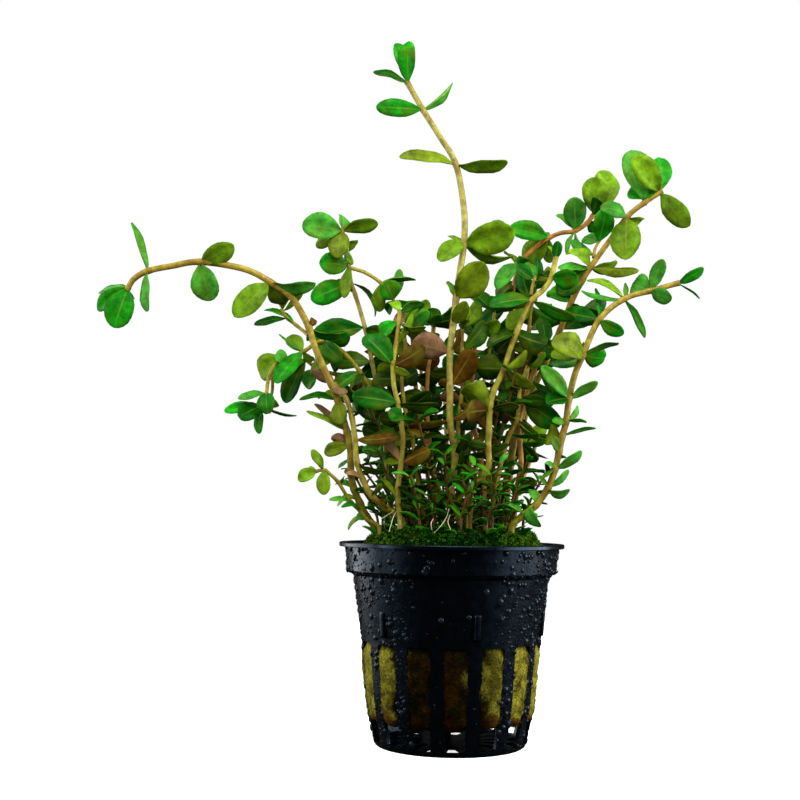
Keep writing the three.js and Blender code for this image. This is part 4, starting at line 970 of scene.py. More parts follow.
SHOOTS = tuple(Shoot.read(block) for block in """
shoot_tall 0.9 /
462 527 -8, 455 507 -8, 451 491 -8, 453 473 -8, 455 455 -8, 453 440 -8.5, 450 421 -9, 450 387 -9, 450 353 -9,
453 325 -8.5, 456 299 -8, 460 271 -7, 464 243 -6, 464 210 -5, 456 165 -4, 440 137 -3.5, 423 110 -3, 407 82
-2.5 /
17 409 41 -2 4.9 -22 .06 f, 17 397 43 2 4.6 28 .06 f, 17 373 72 -2 4 64 .1 d, 16 376 107 -3 4.8 18 .03 f, 16
453 83 2 4.2 72 .03 g, 14 399 157 -4 4.6 52 .02 o, 14 508 162 -4 5.2 50 .02 l, 12 515 231 -4 8.2 12 .05 l, 12
506 226 3 7.2 30 .04 l, 12 438 260 -3 4.9 20 .05 l, 12 448 236 2 2.6 70 .05 l, 12 513 257 4 4.6 60 .1 l, 12
492 251 6 4 66 .1 l, 10 484 262 -5 7.8 12 .05 o, 10 448 281 1 3.6 62 .06 g, 9 466 301 -4 3.8 10 .05 o, 8 412
342 -3 6.9 168 .06 p, 8 459 330 -2 2.6 60 .05 b, 8 442 352 3 2.6 60 .05 o, 7 473 350 -4 6 165 .05 b, 7 438
384 1 3.4 130 .05 b, 6 408 426 -4 3.6 130 -.1 b, 6 479 400 -3 3.6 130 .06 b, 5 421 438 -3 3.6 70 .12 k, 4 469
433 -4 2.9 30 .05 k, 3 462 450 -3 2.4 60 .1 k, 2 437 503 -4 2.6 60 .08 d, 2 466 505 -3 2.2 60 .1 k /

shoot_left_arch 0.92 /
374 527 -4, 367 517 -5, 360 503 -6, 354 489 -7, 351 474 -8, 351 460 -9, 350 446 -9.5, 347 432 -10, 338 401
-11, 331 384 -12.5, 316 350 -12.5, 309 328 -12, 292 298 -11.5, 270 282 -11, 244 269 -10, 200 262 -8.5, 172
266 -7.5, 148 271 -6.5, 134 279 -6, 127 290 -5.5 /
19 114 328 -1 7.3 12 .06 f, 19 97 310 2 4.4 30 .02 f, 19 99 292 3 3.6 60 .02 g, 19 134 299 3 2.6 60 .1 g, 17
132 222 1 3.4 60 -.03 g, 17 147 312 -2 3.7 52 .05 g, 15 234 245 -3 5.5 14 .06 l, 15 211 301 2 6.9 12 .05 g,
13 234 317 -4 6.2 14 .06 l, 13 316 283 -3 4.8 50 .12 g, 13 285 304 4 5.4 20 .05 o, 11 313 318 1 2 20 .3 b, 11
344 333 3 3.8 62 .1 d, 9 311 371 1 2.6 150 .06 p, 9 347 393 -2 2.8 140 .05 p, 8 299 400 2 3.4 62 .1 d, 8 342
424 -3 5 30 .05 o, 7 306 411 -2 2.6 62 .04 l, 7 314 404 3 2.4 130 .04 p, 6 331 437 -2 3.1 150 .08 p, 6 324
453 1 3.6 14 .08 o, 5 338 468 1 1.8 60 .05 g, 4 345 473 -3 2 60 .1 o, 3 335 484 2 2.4 60 .1 g, 2 337 506 -2
2.2 62 .3 l, 1 348 530 1 2.2 62 .15 l, 1 357 519 -3 2.6 40 .1 g /

shoot_left_twig 0.5 /
308.5 335.2 -10.8, 296 325 -8, 287 318 -7.5, 281 309 -7 /
3 303 288 -2 2.4 48 .06 l, 3 277 290 3 4.4 20 .05 o, 2 254 325 -2 2.8 48 .05 d, 1 264 310 2 2.6 60 .1 f, 0
316 336 3 3.4 50 .1 l /

shoot_left_second 0.8 /
402 520 -9.5, 386 508 -11, 372 496 -13, 363 480 -13, 357 462 -12.8, 355 440 -12.5, 352 418 -12, 346 399 -8.5,
334 384 -6 /
8 318 372 1 2.8 150 .05 p, 7 318 398 2 3.2 60 .1 o, 6 362 392 -3 3.2 60 .1 d, 5 398 437 -4 3.4 150 .05 b, 5
360 449 3 2.4 62 .08 g, 4 385 471 -3 2.8 62 .1 k, 3 346 473 -2 2.4 62 .1 p, 2 380 484 -3 2.8 60 .05 o, 1 379
501 -4 2.2 60 .1 b /

shoot_left_low 0.5 /
379 527 -9, 368 520 -9.5, 361 512 -10, 352 503 -10.5, 345 493 -11, 338 482 -11.5, 331 475 -12, 324 470 -12,
314 472 -12 /
8 298 480 -1 3.4 20 .05 l, 8 305 471 2 1.8 50 .05 l, 7 324 495 -2 3.5 10 .05 l, 7 311 450 -2 3 44 .05 l, 5
344 477 2 1.8 60 .05 g, 3 329 500 -2 2.2 60 .1 g, 2 341 507 -3 2 60 .2 d /

shoot_left_upper 0.64 /
407 521 3, 399 480 3, 389 440 3, 380 400 3.5, 372 362 4, 365 328 4, 355 294 4, 351 283 4, 349 266 4, 346 243
3.5, 341 228 3 /
10 302 225 -3 7 14 .05 g, 10 378 223 -3 4.6 34 -.14 l, 10 343 216 3 4.4 40 .05 g, 10 337 258 -4 5.5 12 .06 o,
10 316 247 2 3.6 20 .05 l, 9 356 245 3 3.8 30 .05 l, 9 353 264 -6 3 56 .05 l, 8 319 263 -3 6 16 .05 f, 8 345
298 -4 4 40 .06 l, 7 311 300 -3 6.2 14 .06 f, 7 375 317 -2 2.4 58 -.3 d, 6 338 279 2 3 60 .05 g, 5 309 341 -5
6.4 24 .08 d, 5 402 337 -4 6 30 .08 d, 4 331 362 3 5.4 30 .06 d, 4 398 358 4 6.4 30 .1 d, 3 350 384 -3 5.6 24
.05 o, 3 412 395 4 5 40 .05 k, 2 362 428 -4 6 20 .06 k, 2 418 440 4 5 40 .06 k, 1 376 488 -2 3.2 50 .06 l /

shoot_left_upper_branch 0.5 /
352 268.2 3.1, 366 273 1.5, 381 283 1, 389 293 1, 395 303 1 /
4 385 281 -3 5.8 14 .1 f, 2 379 312 2 3.9 20 .06 l, 4 400 269 2 2.9 24 .05 g, 2 416 280 -3 2.2 62 -.14 g, 4
425 304 -3 4 48 .1 g, 4 388 314 3 3 40 .05 d /

shoot_left_cluster 0.6 /
393 522 0, 388 490 0, 386 455 0, 381 420 0, 371 392 -.5, 360 372 -1, 344 353 -1, 323 341 -1.5, 303 352 -2,
288 359 -3, 276 364 -4, 269 377 -5, 266 396 -6 /
12 238 399 -2 2.9 48 .04 g, 12 278 407 2 3 40 .1 l, 12 268 414 -3 4.6 14 .1 d, 9 259 373 4 6.9 14 .04 l, 9
275 358 -2 4 30 .05 g, 8 289 336 3 4.2 16 .05 l, 8 275 383 -4 4.6 24 .06 f, 8 279 334 -3 1.4 66 -.05 g, 8 313
361 3 2.6 30 .05 l, 7 343 361 -4 4.8 24 .06 d, 7 350 336 3 5.6 40 .05 f, 6 310 373 4 4 40 .06 o, 5 332 392 -4
4 30 .06 d, 4 392 400 -6 5.6 14 .06 k, 3 356 402 2 5.2 20 .06 k, 2 362 450 -2 3.6 30 .06 g /

shoot_left_cluster_twig 0.45 /
272.6 375.2 -3.7, 272 392 -1.5, 268 402 -2, 262 406 -2.5, 258 407 -3 /
4 224 411 -1 3 20 .06 f, 4 239 418 -4 5.2 20 .1 d, 4 259 434 -2 2.7 30 .05 f, 3 297 416 2 1.3 66 .05 d /

shoot_left_rear 0.6 /
413 520 8, 405 470 8, 392 430 8, 374 398 8, 355 377 7, 335 374 6, 318 369 5, 304 358 4.5 /
7 285 403 -3 5.2 24 .06 d, 7 280 372 3 4.6 40 .05 f, 6 322 333 3 5 20 .05 l, 6 306 388 2 4.8 30 .06 g, 5 330
345 3 5.6 30 .06 d, 5 356 402 5 5.2 30 .06 d, 4 390 352 4 6 30 .06 d, 3 352 407 5 5 30 .06 o, 2 420 410 5 5.6
30 .05 b /

shoot_front_left 0.68 /
400 518 -13, 398 503 -13, 398 487 -13, 401 464 -13, 403 440 -13, 401 422 -12.5, 398 403 -12, 394 386 -11.5,
393 366 -11, 396 345 -10, 399 322 -9, 400 310 -8.5 /
11 421 302 -3 3.2 44 -.1 g, 11 390 302 2 3 40 .05 l, 10 426 327 -3 2.6 62 .12 o, 10 380 339 3 4.6 40 .05 f, 9
413 313 3 2.4 40 .05 l, 8 425 347 -4 5.6 160 .06 b, 8 410 374 -3 2.4 40 .08 o, 8 378 372 2 3 140 .06 o, 8 364
336 3 6.4 30 .06 d, 6 352 396 -4 5.6 14 .06 d, 6 440 405 -3 3.6 44 .08 k, 5 380 419 3 4.4 150 .06 k, 5 388
411 -3 4 30 .05 d, 4 377 432 2 3.2 62 .06 k, 3 378 436 -3 3 140 .05 p, 3 430 450 -3 4 150 -.06 b, 3 384 461 3
2.8 50 .06 o, 2 408 487 -2 2.4 50 .06 k, 2 425 503 -3 1.8 62 .05 d, 1 380 478 2 2.4 60 .05 o, 1 415 508 -3
1.8 62 .06 k /

shoot_middle_left 0.6 /
425 522 -5, 420 495 -5, 416 466 -5, 412 436 -5, 405 408 -4.5, 402 380 -4, 406 352 -3.5, 403 328 -3 /
7 440 335 -4 3.8 44 .12 o, 7 429 311 -4 3.8 16 .05 g, 7 415 300 3 3.6 40 .06 l, 6 440 361 3 6.6 160 .06 b, 5
418 372 -3 5.6 160 .05 k, 5 372 380 3 5 30 .06 k, 4 430 392 -3 5 40 .06 k, 3 395 445 2 4.4 40 .05 o, 2 430
445 -2 4 150 .06 p / 3 0.1 7 3.4 20

shoot_middle_rust 0.6 /
452 523 -3, 449 509 -3, 441 494 -3, 433 471 -3, 430 445 -3, 428 425 -3, 427 400 -3, 428 372 -2.5, 432 345 -2,
434 322 -2 /
9 430 308 -3 4.8 20 .05 d, 9 455 308 2 5 40 .06 d, 9 421 316 -2 3.4 20 .05 f, 9 452 322 -4 4 60 .06 d, 8 410
330 3 5 40 .05 k, 7 455 375 3 5 30 .05 k, 6 402 395 3 4.6 40 .06 k, 5 445 440 3 4 40 .06 k / 3 0.12 7 3.2 70

shoot_middle_olive 0.6 /
433 522 3, 428 480 3, 425 440 3, 419 410 3, 415 380 3, 413 350 3, 411 318 3.5 /
6 428 300 -2 4.2 30 .06 l, 6 394 318 2 4 30 .06 p, 5 437 345 3 5 40 .05 b, 5 390 350 -2 5 30 .06 o, 4 440 375
2 5.2 30 .05 k, 4 388 383 2 5 30 .06 d, 3 442 400 3 5 30 .06 k / 4 0.12 8 4 10

shoot_heart 0.6 /
476 518 -3, 468 490 -3, 460 455 -4, 458 430 -4.5, 461 400 -5, 463 380 -5, 462 350 -5, 462 325 -5 /
7 463 302 -2 3.7 12 .05 o, 7 443 350 -4 2.2 44 .05 d, 7 480 303 3 4.2 20 .06 l, 6 486 322 3 5.2 30 .06 d, 5
486 402 -4 6.2 170 .05 o, 4 440 398 3 4 140 .06 p, 3 478 412 3 4.4 40 .06 k, 2 435 452 3 4 40 .06 k, 2 485
452 -2 3.4 60 .05 k / 3 0.1 7 3 40

shoot_heart_fork 0.5 /
470 515 5, 468 480 5, 470 445 5, 478 410 5, 486 370 4, 492 334 3, 495 310 2.5 /
6 489 296 -2 3.4 30 .06 d, 6 512 288 -3 3.6 50 -.08 d, 6 470 292 3 5 40 .05 d, 6 522 300 -2 3.4 60 .05 d, 5
520 322 3 6.4 20 .05 d, 5 462 325 3 5.6 30 .06 d, 4 455 365 3 5.8 40 .06 b, 4 515 352 3 5.6 30 .05 k, 3 445
395 3 5 40 .05 k, 3 505 402 -2 5 40 .05 b / 3 0.1 8 3.6 0

shoot_front_right 0.8 /
469 525 -13, 470 508 -13, 471 489 -13, 477 481 -13, 484 474 -13, 489 463 -13, 488 447 -13, 489 432 -13, 490
410 -12.5, 494 391 -12, 504 369 -11.5, 510 350 -11, 516 334 -10.5, 524 315 -10, 532 300 -9.5, 543 290 -9, 551
278 -8.5, 556 257 -8 /
17 558 241 -1 2.6 14 .05 d, 17 548 246 2 2.2 60 .05 l, 16 541 275 2 2.8 60 .05 k, 16 578 276 -3 5.8 30 .06 f,
14 489 306 -4 5 44 .06 d, 14 522 271 3 5 30 -.1 d, 14 576 319 -3 4.2 44 .05 f, 12 487 347 -4 3.6 50 .08 k, 12
496 352 3 5.4 160 .05 k, 12 546 345 -4 6.2 160 .05 k, 10 527 351 -4 3.2 140 .05 o, 10 476 368 4 6.6 170 .05
k, 10 532 388 3 4 40 .06 o, 8 466 385 -4 6 165 .05 o, 8 466 413 -3 5.6 165 .05 b, 8 519 405 -4 3.4 44 -.06 k,
7 460 404 3 3.6 140 .05 b, 6 468 443 -3 3 150 -.1 k, 6 508 445 3 3 50 .05 k, 4 463 465 -3 2.4 60 -.1 k, 3 462
472 -3 2 60 .06 k, 3 496 484 -2 2 60 .05 f, 2 458 502 -3 2 60 .05 k, 1 483 500 2 2 60 .05 g /

shoot_front_right_twig 0.45 /
531.1 295 -8.7, 532 288 -8.5, 534 281 -8.5, 535 276 -8.5 /
3 516 266 -2 3.8 34 -.12 d, 3 528 262 3 3.2 40 .05 g, 2 545 281 -2 1.8 60 .05 o /

shoot_right_slim 0.6 /
490 519 -8, 492 505 -8, 496 493 -8, 499 473 -8, 504 452 -8, 510 434 -8, 517 420 -8, 519 400 -8, 521 385 -8,
528 366 -8 /
9 545 352 3 3.6 60 .05 l, 9 532 346 -2 3 50 .05 k, 8 505 383 -2 4 30 .06 d, 7 541 391 2 3 40 .06 k, 7 546 401
-3 3.4 14 .05 k, 6 540 436 -2 2 60 -.08 l, 6 494 402 3 4 140 .06 k, 5 541 434 -2 2 60 .05 d, 4 494 456 -2 2
50 .05 k, 3 521 470 2 2.4 60 .05 d, 2 516 477 -2 2 60 .06 o, 1 517 500 -2 2.2 60 .08 g /

shoot_right_rust 0.68 /
514 519 -4, 517 488 -4, 521 463 -4, 520 442 -4, 519 422 -4.5, 525 400 -4, 531 380 -4, 538 360 -4, 546 342 -4
/
8 570 334 3 4 40 .05 d, 8 556 348 -3 6.4 24 .06 d, 8 541 318 2 5 40 .06 d, 7 561 398 -4 3.4 40 .05 g, 7 513
363 3 5 30 .06 b, 6 566 392 3 4 60 .05 g, 5 561 425 -4 6.2 16 .06 d, 5 505 412 3 5 40 .06 d, 4 546 440 -2 2.2
60 .1 l, 3 537 462 3 3.6 20 .05 k, 3 548 441 2 2.2 60 .05 d, 2 499 471 2 3 60 .06 d, 1 535 487 -2 3 50 .06 d,
1 500 488 2 2.4 60 .05 d /

shoot_right_long 0.85 /
512 526 -12, 524 515 -12, 536 505 -12, 548 488 -12, 555 469 -12, 559 452 -12, 562 437 -12, 566 422 -12, 569
399 -12, 575 374 -12, 583 355 -12, 599 320 -11, 624 299 -10, 650 291 -9, 679 283 -8 /
14 704 268 -1 3 30 .04 f, 14 700 299 2 1.2 66 -.08 g, 13 663 259 -2 3.8 20 -.05 g, 13 632 284 2 6.4 16 .05 g,
13 672 299 -3 4.2 24 .06 g, 12 581 291 -2 2.6 62 -.08 g, 12 587 280 3 3.2 60 .08 l, 12 645 338 -3 3 50 -.14
g, 12 626 283 2 2 50 .05 g, 11 624 334 -2 3.7 20 .06 f, 11 563 314 2 5 30 .06 d, 11 596 288 2 2.2 50 .04 f,
10 619 343 -3 2.8 60 -.06 g, 10 605 358 3 5.4 24 .08 f, 10 551 357 -3 5 50 .06 l, 10 551 343 -4 6.6 30 .06 o,
8 598 382 -2 3.2 40 -.06 g, 8 541 366 -4 3.8 20 .05 g, 8 546 403 3 5 50 .05 d, 7 578 406 2 2 40 .1 g, 7 587
422 -2 1.8 60 -.15 g, 7 552 421 -3 2.2 30 .05 f, 6 596 428 -2 1.8 56 -.12 g, 6 546 437 3 5.6 24 .05 o, 5 565
458 2 2.4 50 .05 g, 5 551 438 -3 3 40 .05 d, 4 582 451 -2 3 40 .06 g, 4 545 463 -1 1.8 56 .05 g, 4 542 479 -3
2 60 .05 g, 3 570 490 -2 2.6 40 .4 g, 3 569 470 2 2.2 40 .05 g, 3 538 476 -2 2 60 .05 g, 2 541 527 -3 3.6 44
.5 g, 2 530 489 3 3 40 .06 g, 1 537 517 2 2.6 20 .05 g, 1 508 505 -2 2.4 60 .05 g /

shoot_right_upper 0.85 /
501 521 7, 506 480 6.5, 514 440 6, 528 402 4, 545 364 1, 560 330 -1, 571 303 -2.5, 580 285 -3.5, 590 268 -4,
610 240 -4.5, 627 217 -5, 644 203 -5, 662 191 -5 /
12 634 156 -3 6.4 14 .05 l, 11 631 150 3 7.6 14 .05 g, 12 661 158 3 5.2 20 .04 f, 12 690 226 -3 6 24 .06 l,
12 627 194 3 5 30 .06 f, 12 646 204 4 4 56 .05 g, 10 626 260 -4 7.7 10 .05 l, 10 600 208 -4 4.8 40 .14 g, 10
640 223 4 4.4 20 .05 l, 8 639 271 -4 3.6 134 .01 o, 8 617 264 4 4.6 50 .06 l, 8 558 268 -3 4 60 -.05 g, 8 569
250 3 4.6 50 .06 l, 8 557 293 -5 6.6 20 .05 g, 6 604 318 -3 6.2 46 .06 d, 6 550 290 3 6 30 .06 f, 5 606 300 4
5.6 30 .06 d, 5 568 348 3 6.2 30 .06 d, 4 585 345 4 5.6 40 .06 d, 4 510 345 3 5.6 40 .06 o, 3 560 395 4 5 40
.06 d, 3 497 385 3 5.6 40 .05 k, 2 548 425 4 5 40 .06 l /

shoot_right_upper_twig 0.45 /
593.8 257.6 -3, 595 249 -1.5, 600 240 -1 /
2 606 208 -3 5.4 14 .06 f, 2 583 238 3 4.4 40 .05 g, 0 571 240 2 3 40 -.1 g, 0 566 253 4 3 50 .05 l /

shoot_right_rear 0.7 /
482 519 10, 487 480 10, 494 440 10, 502 400 10, 508 350 9.5, 512 300 9, 515 281 8.5, 521 262 8, 535 248 8,
549 238 8, 561 233 8, 575 231 8, 587 223 8, 595 212 8 /
13 594 177 -2 7 12 .05 l, 13 609 171 3 7.6 16 .05 l, 11 574 197 -4 6.2 14 .05 g, 12 603 226 3 5.6 40 .05 f,
11 557 214 2 3.4 50 .05 g, 11 567 254 -3 2.6 62 .05 g, 11 590 250 -2 2.8 60 .15 g, 9 509 228 -3 5.4 20 .05 f,
9 524 262 4 6.4 16 .06 l, 9 544 232 2 1.6 62 .05 g, 9 549 263 3 4.6 40 .05 l, 7 497 290 -4 5 40 .06 g, 7 540
272 4 5 40 .06 d, 6 498 300 3 5.6 40 .06 o, 6 535 303 3 5.4 40 .05 d, 5 545 325 4 6 30 .06 o, 5 480 330 3 5.6
40 .06 d, 4 540 370 4 5.4 40 .06 b, 4 470 380 3 5.6 40 .05 k / 3 0.12 8 4 30

shoot_right_pink 0.6 /
503 517 2, 509 490 2, 514 450 1.5, 522 410 1, 527 370 0, 529 331 0, 531 308 0, 536 285 .5 /
7 551 268 2 4 40 .05 o, 7 537 258 -2 3.6 40 .05 d, 6 557 322 -3 3.6 150 .05 d, 6 508 330 3 5.4 40 .05 l, 5
552 306 2 4.6 40 .06 o, 5 497 350 3 5.6 40 .06 o, 4 562 340 4 6 30 .06 d, 4 500 372 3 5 40 .06 p, 3 498 420 3
4.6 150 .06 k / 3 0.12 7 3.4 60

shoot_middle_thick 0.68 /
485 523 -7, 484 505 -7, 484 485 -6, 480 455 -3, 474 425 0, 472 390 1, 474 355 1, 478 325 1 /
7 475 298 2 4.6 40 .05 l, 7 500 322 -2 5.4 40 .06 l, 6 450 345 2 5 40 .06 b, 6 505 340 3 5.6 40 .06 d, 5 440
372 3 5 40 .06 p, 4 505 395 3 5 40 .06 k / 3 0.1 7 3.4 20

shoot_rear_left 0.6 /
423 521 13, 412 480 16, 400 440 19, 392 400 21, 388 362 22.5, 386 338 23 /
/ 6 0.2 10 5.6 10

shoot_rear_middle_left 0.6 /
440 522 16, 436 480 20, 430 440 23, 424 400 25, 420 360 26, 417 326 26 /
/ 6 0.2 10 5.6 50

shoot_rear_middle 0.6 /
458 522 12, 458 480 14, 462 440 16, 468 400 17, 470 360 17, 468 318 16.5 /
/ 6 0.2 10.5 6 20

shoot_rear_middle_right 0.6 /
468 522 18, 474 480 22, 482 440 25, 490 400 27, 494 360 28, 496 324 28 /
/ 6 0.2 10 5.6 75

shoot_rear_right 0.6 /
497 521 14, 508 480 17, 520 440 20, 530 400 22, 538 362 23, 543 328 23 /
/ 6 0.2 10 5.6 35

shoot_rear_arch 0.6 /
452 521 20, 450 490 25, 448 460 30, 446 430 34, 445 400 37, 446 370 39 /
/ 6 0.2 10.5 5.8 0

shoot_rear_side_left 0.55 /
410 521 12.5, 396 492 16, 384 462 19, 374 436 21, 366 412 22 /
/ 6 0.18 9 4.8 60

shoot_rear_side_right 0.55 /
508 521 9, 520 486 13, 532 456 16, 540 428 18, 545 404 19 /
/ 6 0.18 8.4 4.6 15
""".strip().split("\n\n"))


@dataclass(frozen=True)
class Thicket:
    """Thin shoots that fill the bush from inside, spread by rule over the middle of the moss."""

    name: str  # the piece's name
    count: int  # how many are drawn; one that has no room is left out
    middle: Two  # the spread's middle in the front view, across and in depth
    reach: Two  # half its width in the view's units, and half its depth in millimetres
    heights: Two  # the least and the greatest height, in the view's units
    leaf: Two  # the lowest leaves' length and width, in millimetres
    apart: float  # the height between two pairs of leaves, in the view's units
    tones: str  # the letters of the leaves' tones
    seed: int  # the seed of the spread
    lean: float = 0.5  # how far the outer ones lean out, as a share of their height
    radius: float = 0.34  # a stem's radius, in millimetres
    foot: float = 521.0  # how far down the front view the shoots start
    spread: float = 0.4  # how far chance turns each off the spiral, in radians
    lower: float = 0.2  # how much lower the outer ones are
    shares: tuple[float, ...] = (0, 0.3, 0.65, 1)  # the shares of the height at which a stem has points
    sway: float = 2.0  # how far chance shifts those points, in the view's units
    arch: float = 1.4  # how much the lean grows towards the tip
    depth_units: float = 5.0  # how many of the view's units the lean has for a millimetre of depth
    least: int = 3  # the fewest pairs of leaves
    first: float = 0.06  # the share of the height at which they start
    turn: float = 37.0  # how much further each shoot's leaves are turned, in degrees

    def shoots(self) -> list[Shoot]:
        """Draw the shoots.

        Returns:
            The shoots, in a spiral from the middle outwards.
        """
        rng = np.random.default_rng(self.seed)
        made = []
        for k in range(self.count):
            angle = GOLDEN_ANGLE * k + rng.uniform(-self.spread, self.spread)
            out = math.sqrt((k + 0.5) / self.count)
            side, back = out * math.cos(angle), out * math.sin(angle)
            across, deep = self.middle[0] + self.reach[0] * side, self.middle[1] + self.reach[1] * back
            high = rng.uniform(*self.heights) * (1 - self.lower * out)
            rows = []
            for share in self.shares:
                sway = rng.normal(0, self.sway) if share else 0.0
                over = self.lean * high * share**self.arch
                behind = deep + over * back / self.depth_units
                spot = (across + over * side + sway, self.foot - high * share, behind)
                rows.append("{:.1f} {:.1f} {:.1f}".format(*spot))
            count = max(self.least, round(high / self.apart))
            pairs = Pairs(count, self.first, *self.leaf, self.turn * k, self.tones)
            made.append(Shoot(f"{self.name}_{k}", self.radius, ", ".join(rows), "", pairs))
        return made


GOLDEN_ANGLE = math.pi * (3 - math.sqrt(5))
THICKETS = (
    Thicket("grown_low", 60, (452.0, -3.0), (76.0, 15.0), (26.0, 84.0), (5.8, 2.0), 7.5, "dfgfdgfk", 11),
    Thicket("grown_inner", 66, (454.0, 6.0), (58.0, 14.0), (80.0, 195.0), (8.8, 4.3), 12.0, "dkfkdbdd", 12),
)


@dataclass(frozen=True)
class LeafFinish:
    """Living leaf: its tone above and below, a pale midrib, fine veins and a soft gloss."""

    rib: Colour = colour(0.14, 0.2, 0.02)  # the midrib's colour
    rim: Colour = colour(0.02, 0.07, 0.003)  # the colour that the edge leans to
    ripe: Colour = colour(0.075, 0.09, 0.002)  # the colour of the patches that turn first
    gloss: float = 0.42  # the upper side's roughness
    dull: float = 0.6  # the underside's roughness
    # how many veins leave the midrib on each side, and how steeply they run
    veins: Two = (8.0, 1.9)

    def make(self) -> Material:
        """Build the material.

        Returns:
            The leaf material.
        """
        s = Shader.start("leaf")
        under, along, luck = s.stored("under"), s.stored("along"), s.stored("luck")
        off = s.math("ABSOLUTE", s.stored("across"))
        base = s.mix(under, s.stored("tone", "Color"), s.stored("back", "Color"))
        fine = s.span(s.grain(420.0, 4.0, 0.6), 0.3, 0.72, 0.62, 1.42)
        broad = s.span(s.grain(110.0, 2.0), 0.35, 0.65, 0.78, 1.22)
        base = s.brighten(s.times(fine, broad, s.span(luck, 0.0, 1.0, 0.8, 1.22)), base)
        base = s.mix(s.span(s.grain(170.0), 0.47, 0.66, 0.0, 0.34), base, self.ripe)
        base = s.mix(s.times(s.span(off, 0.72, 1.0), 0.14), base, self.rim)
        count, slope = self.veins
        slant = s.minus(s.times(along, count), s.times(off, slope))
        wave = s.math("ABSOLUTE", s.minus(s.math("FRACT", slant), 0.5))
        veins = s.times(s.span(wave, 0.0, 0.09, 1.0, 0.0), s.span(off, 0.75, 1.0, 1.0, 0.0))
        base = s.brighten(s.span(veins, 0.0, 1.0, 1.0, 1.22), base)
        fade = s.times(s.span(along, 0.55, 1.0, 1.0, 0.25), 0.3)
        rib = s.times(s.span(off, 0.02, 0.1, 1.0, 0.0), fade)
        base = s.mix(rib, base, self.rib)
        gloss = s.span(under, 0.0, 1.0, self.gloss, self.dull)
        rough = s.plus(gloss, s.span(s.grain(900.0, 2.0), 0.3, 0.7, -0.06, 0.08))
        lines = s.math("MAXIMUM", s.times(veins, 0.1), rib)
        normal = s.bump(s.minus(s.times(s.grain(700.0, 2.0), 0.3), lines), 0.00006, 0.4)
        return s.surface(base, rough, 0.045, Normal=normal)


@dataclass(frozen=True)
class StemFinish:
    """Stem skin: straw to olive with brown at the nodes and a fine mottled grain."""

    node: Colour = colour(0.11, 0.055, 0.006)

    def make(self) -> Material:
        """Build the material.

        Returns:
            The stem material.
        """
        s = Shader.start("stem")
        lit = s.span(s.grain(620.0, 4.0, 0.6), 0.3, 0.7, 0.62, 1.38)
        base = s.brighten(lit, s.stored("tone", "Color"))
        rust = s.span(s.grain(170.0), 0.44, 0.66, 0.0, 0.6)
        base = s.mix(s.math("MAXIMUM", rust, s.times(s.stored("swell"), 0.45)), base, self.node)
        rough = s.span(s.grain(900.0, 2.0), 0.3, 0.7, 0.32, 0.5)
        return s.surface(base, rough, 0.17, Normal=s.bump(s.grain(700.0), 0.00006, 0.4))


@dataclass(frozen=True)
class Blade:
    """A leaf blade one metre long and wide, which each leaf scales, and its thickness."""

    rings: Outline = (  # shares of the length and of the half width
        (0.06, 0.13), (0.13, 0.35), (0.24, 0.65), (0.38, 0.89), (0.54, 1.0), (0.69, 0.98),
        (0.82, 0.83), (0.92, 0.57), (0.978, 0.29),
    )
    columns: tuple[float, ...] = (-1.0, -0.5, 0.0, 0.5, 1.0)  # shares of the half width across
    edge: float = 0.05 * MM  # half the edge's thickness, in metres
    body: float = 0.07 * MM  # how much thicker the middle is, on each side
    rib: float = 0.09 * MM  # how far the midrib stands off below, and twice as far as it sinks above

    def build(self) -> Object:
        """Build the blade with the attributes that the finish reads.

        Returns:
            The blade's object.
        """
        points: list[Triple] = [(0.0, 0.0, 0.0)]
        marks: list[Triple] = [(0.0, 0.0, 0.5)]
        for along, half in self.rings:
            for face, columns in ((1, self.columns), (-1, self.columns[::-1])):
                for across in columns:
                    high = self.edge + self.body * (1 - abs(across))
                    if across == 0:
                        high += self.rib * (-0.5 if face > 0 else 1.0)
                    points.append((across * half / 2, along, high * face))
                    marks.append((along, across, 0.0 if face > 0 else 1.0))
        points.append((0.0, 1.0, 0.0))
        marks.append((1.0, 0.0, 0.5))
        loop, last = 2 * len(self.columns), len(points) - 1
        foot = [face[::-1] for face in fan(0, 1, loop)]
        faces = belt(len(self.rings), loop, 1) + foot + fan(last, last - loop, loop)
        mesh = skin("blade", points, faces)
        for name, values in zip(("along", "across", "under"), zip(*marks)):
            mark(mesh, name, values)
        return stand("blade", mesh)


SMALL_BLADE = Blade(((0.12, 0.42), (0.4, 0.98), (0.68, 0.93), (0.9, 0.5)), (-1.0, 0.0, 1.0))


class StemTone(Enum):
    """A stem's colour at its foot and at its tip."""

    STRAW = (colour(0.098, 0.098, 0.003), colour(0.19, 0.137, 0.013))
    OLIVE = (colour(0.13, 0.115, 0.009), colour(0.2, 0.185, 0.037))
    GREEN = (colour(0.11, 0.1, 0.007), colour(0.2, 0.18, 0.016))
    RUST = (colour(0.15, 0.07, 0.008), colour(0.26, 0.115, 0.014))
    SHADED = (colour(0.02, 0.011, 0.001), colour(0.032, 0.034, 0.003))


STEM_TONES = {
    "shoot_left_arch": StemTone.STRAW, "shoot_tall": StemTone.OLIVE, "shoot_right_long": StemTone.STRAW,
    "shoot_right_upper": StemTone.STRAW, "shoot_left_upper": StemTone.OLIVE,
    "shoot_middle_rust": StemTone.RUST, "shoot_right_rear": StemTone.RUST, "shoot_right_rust": StemTone.RUST,
    "shoot_middle_thick": StemTone.RUST,
}


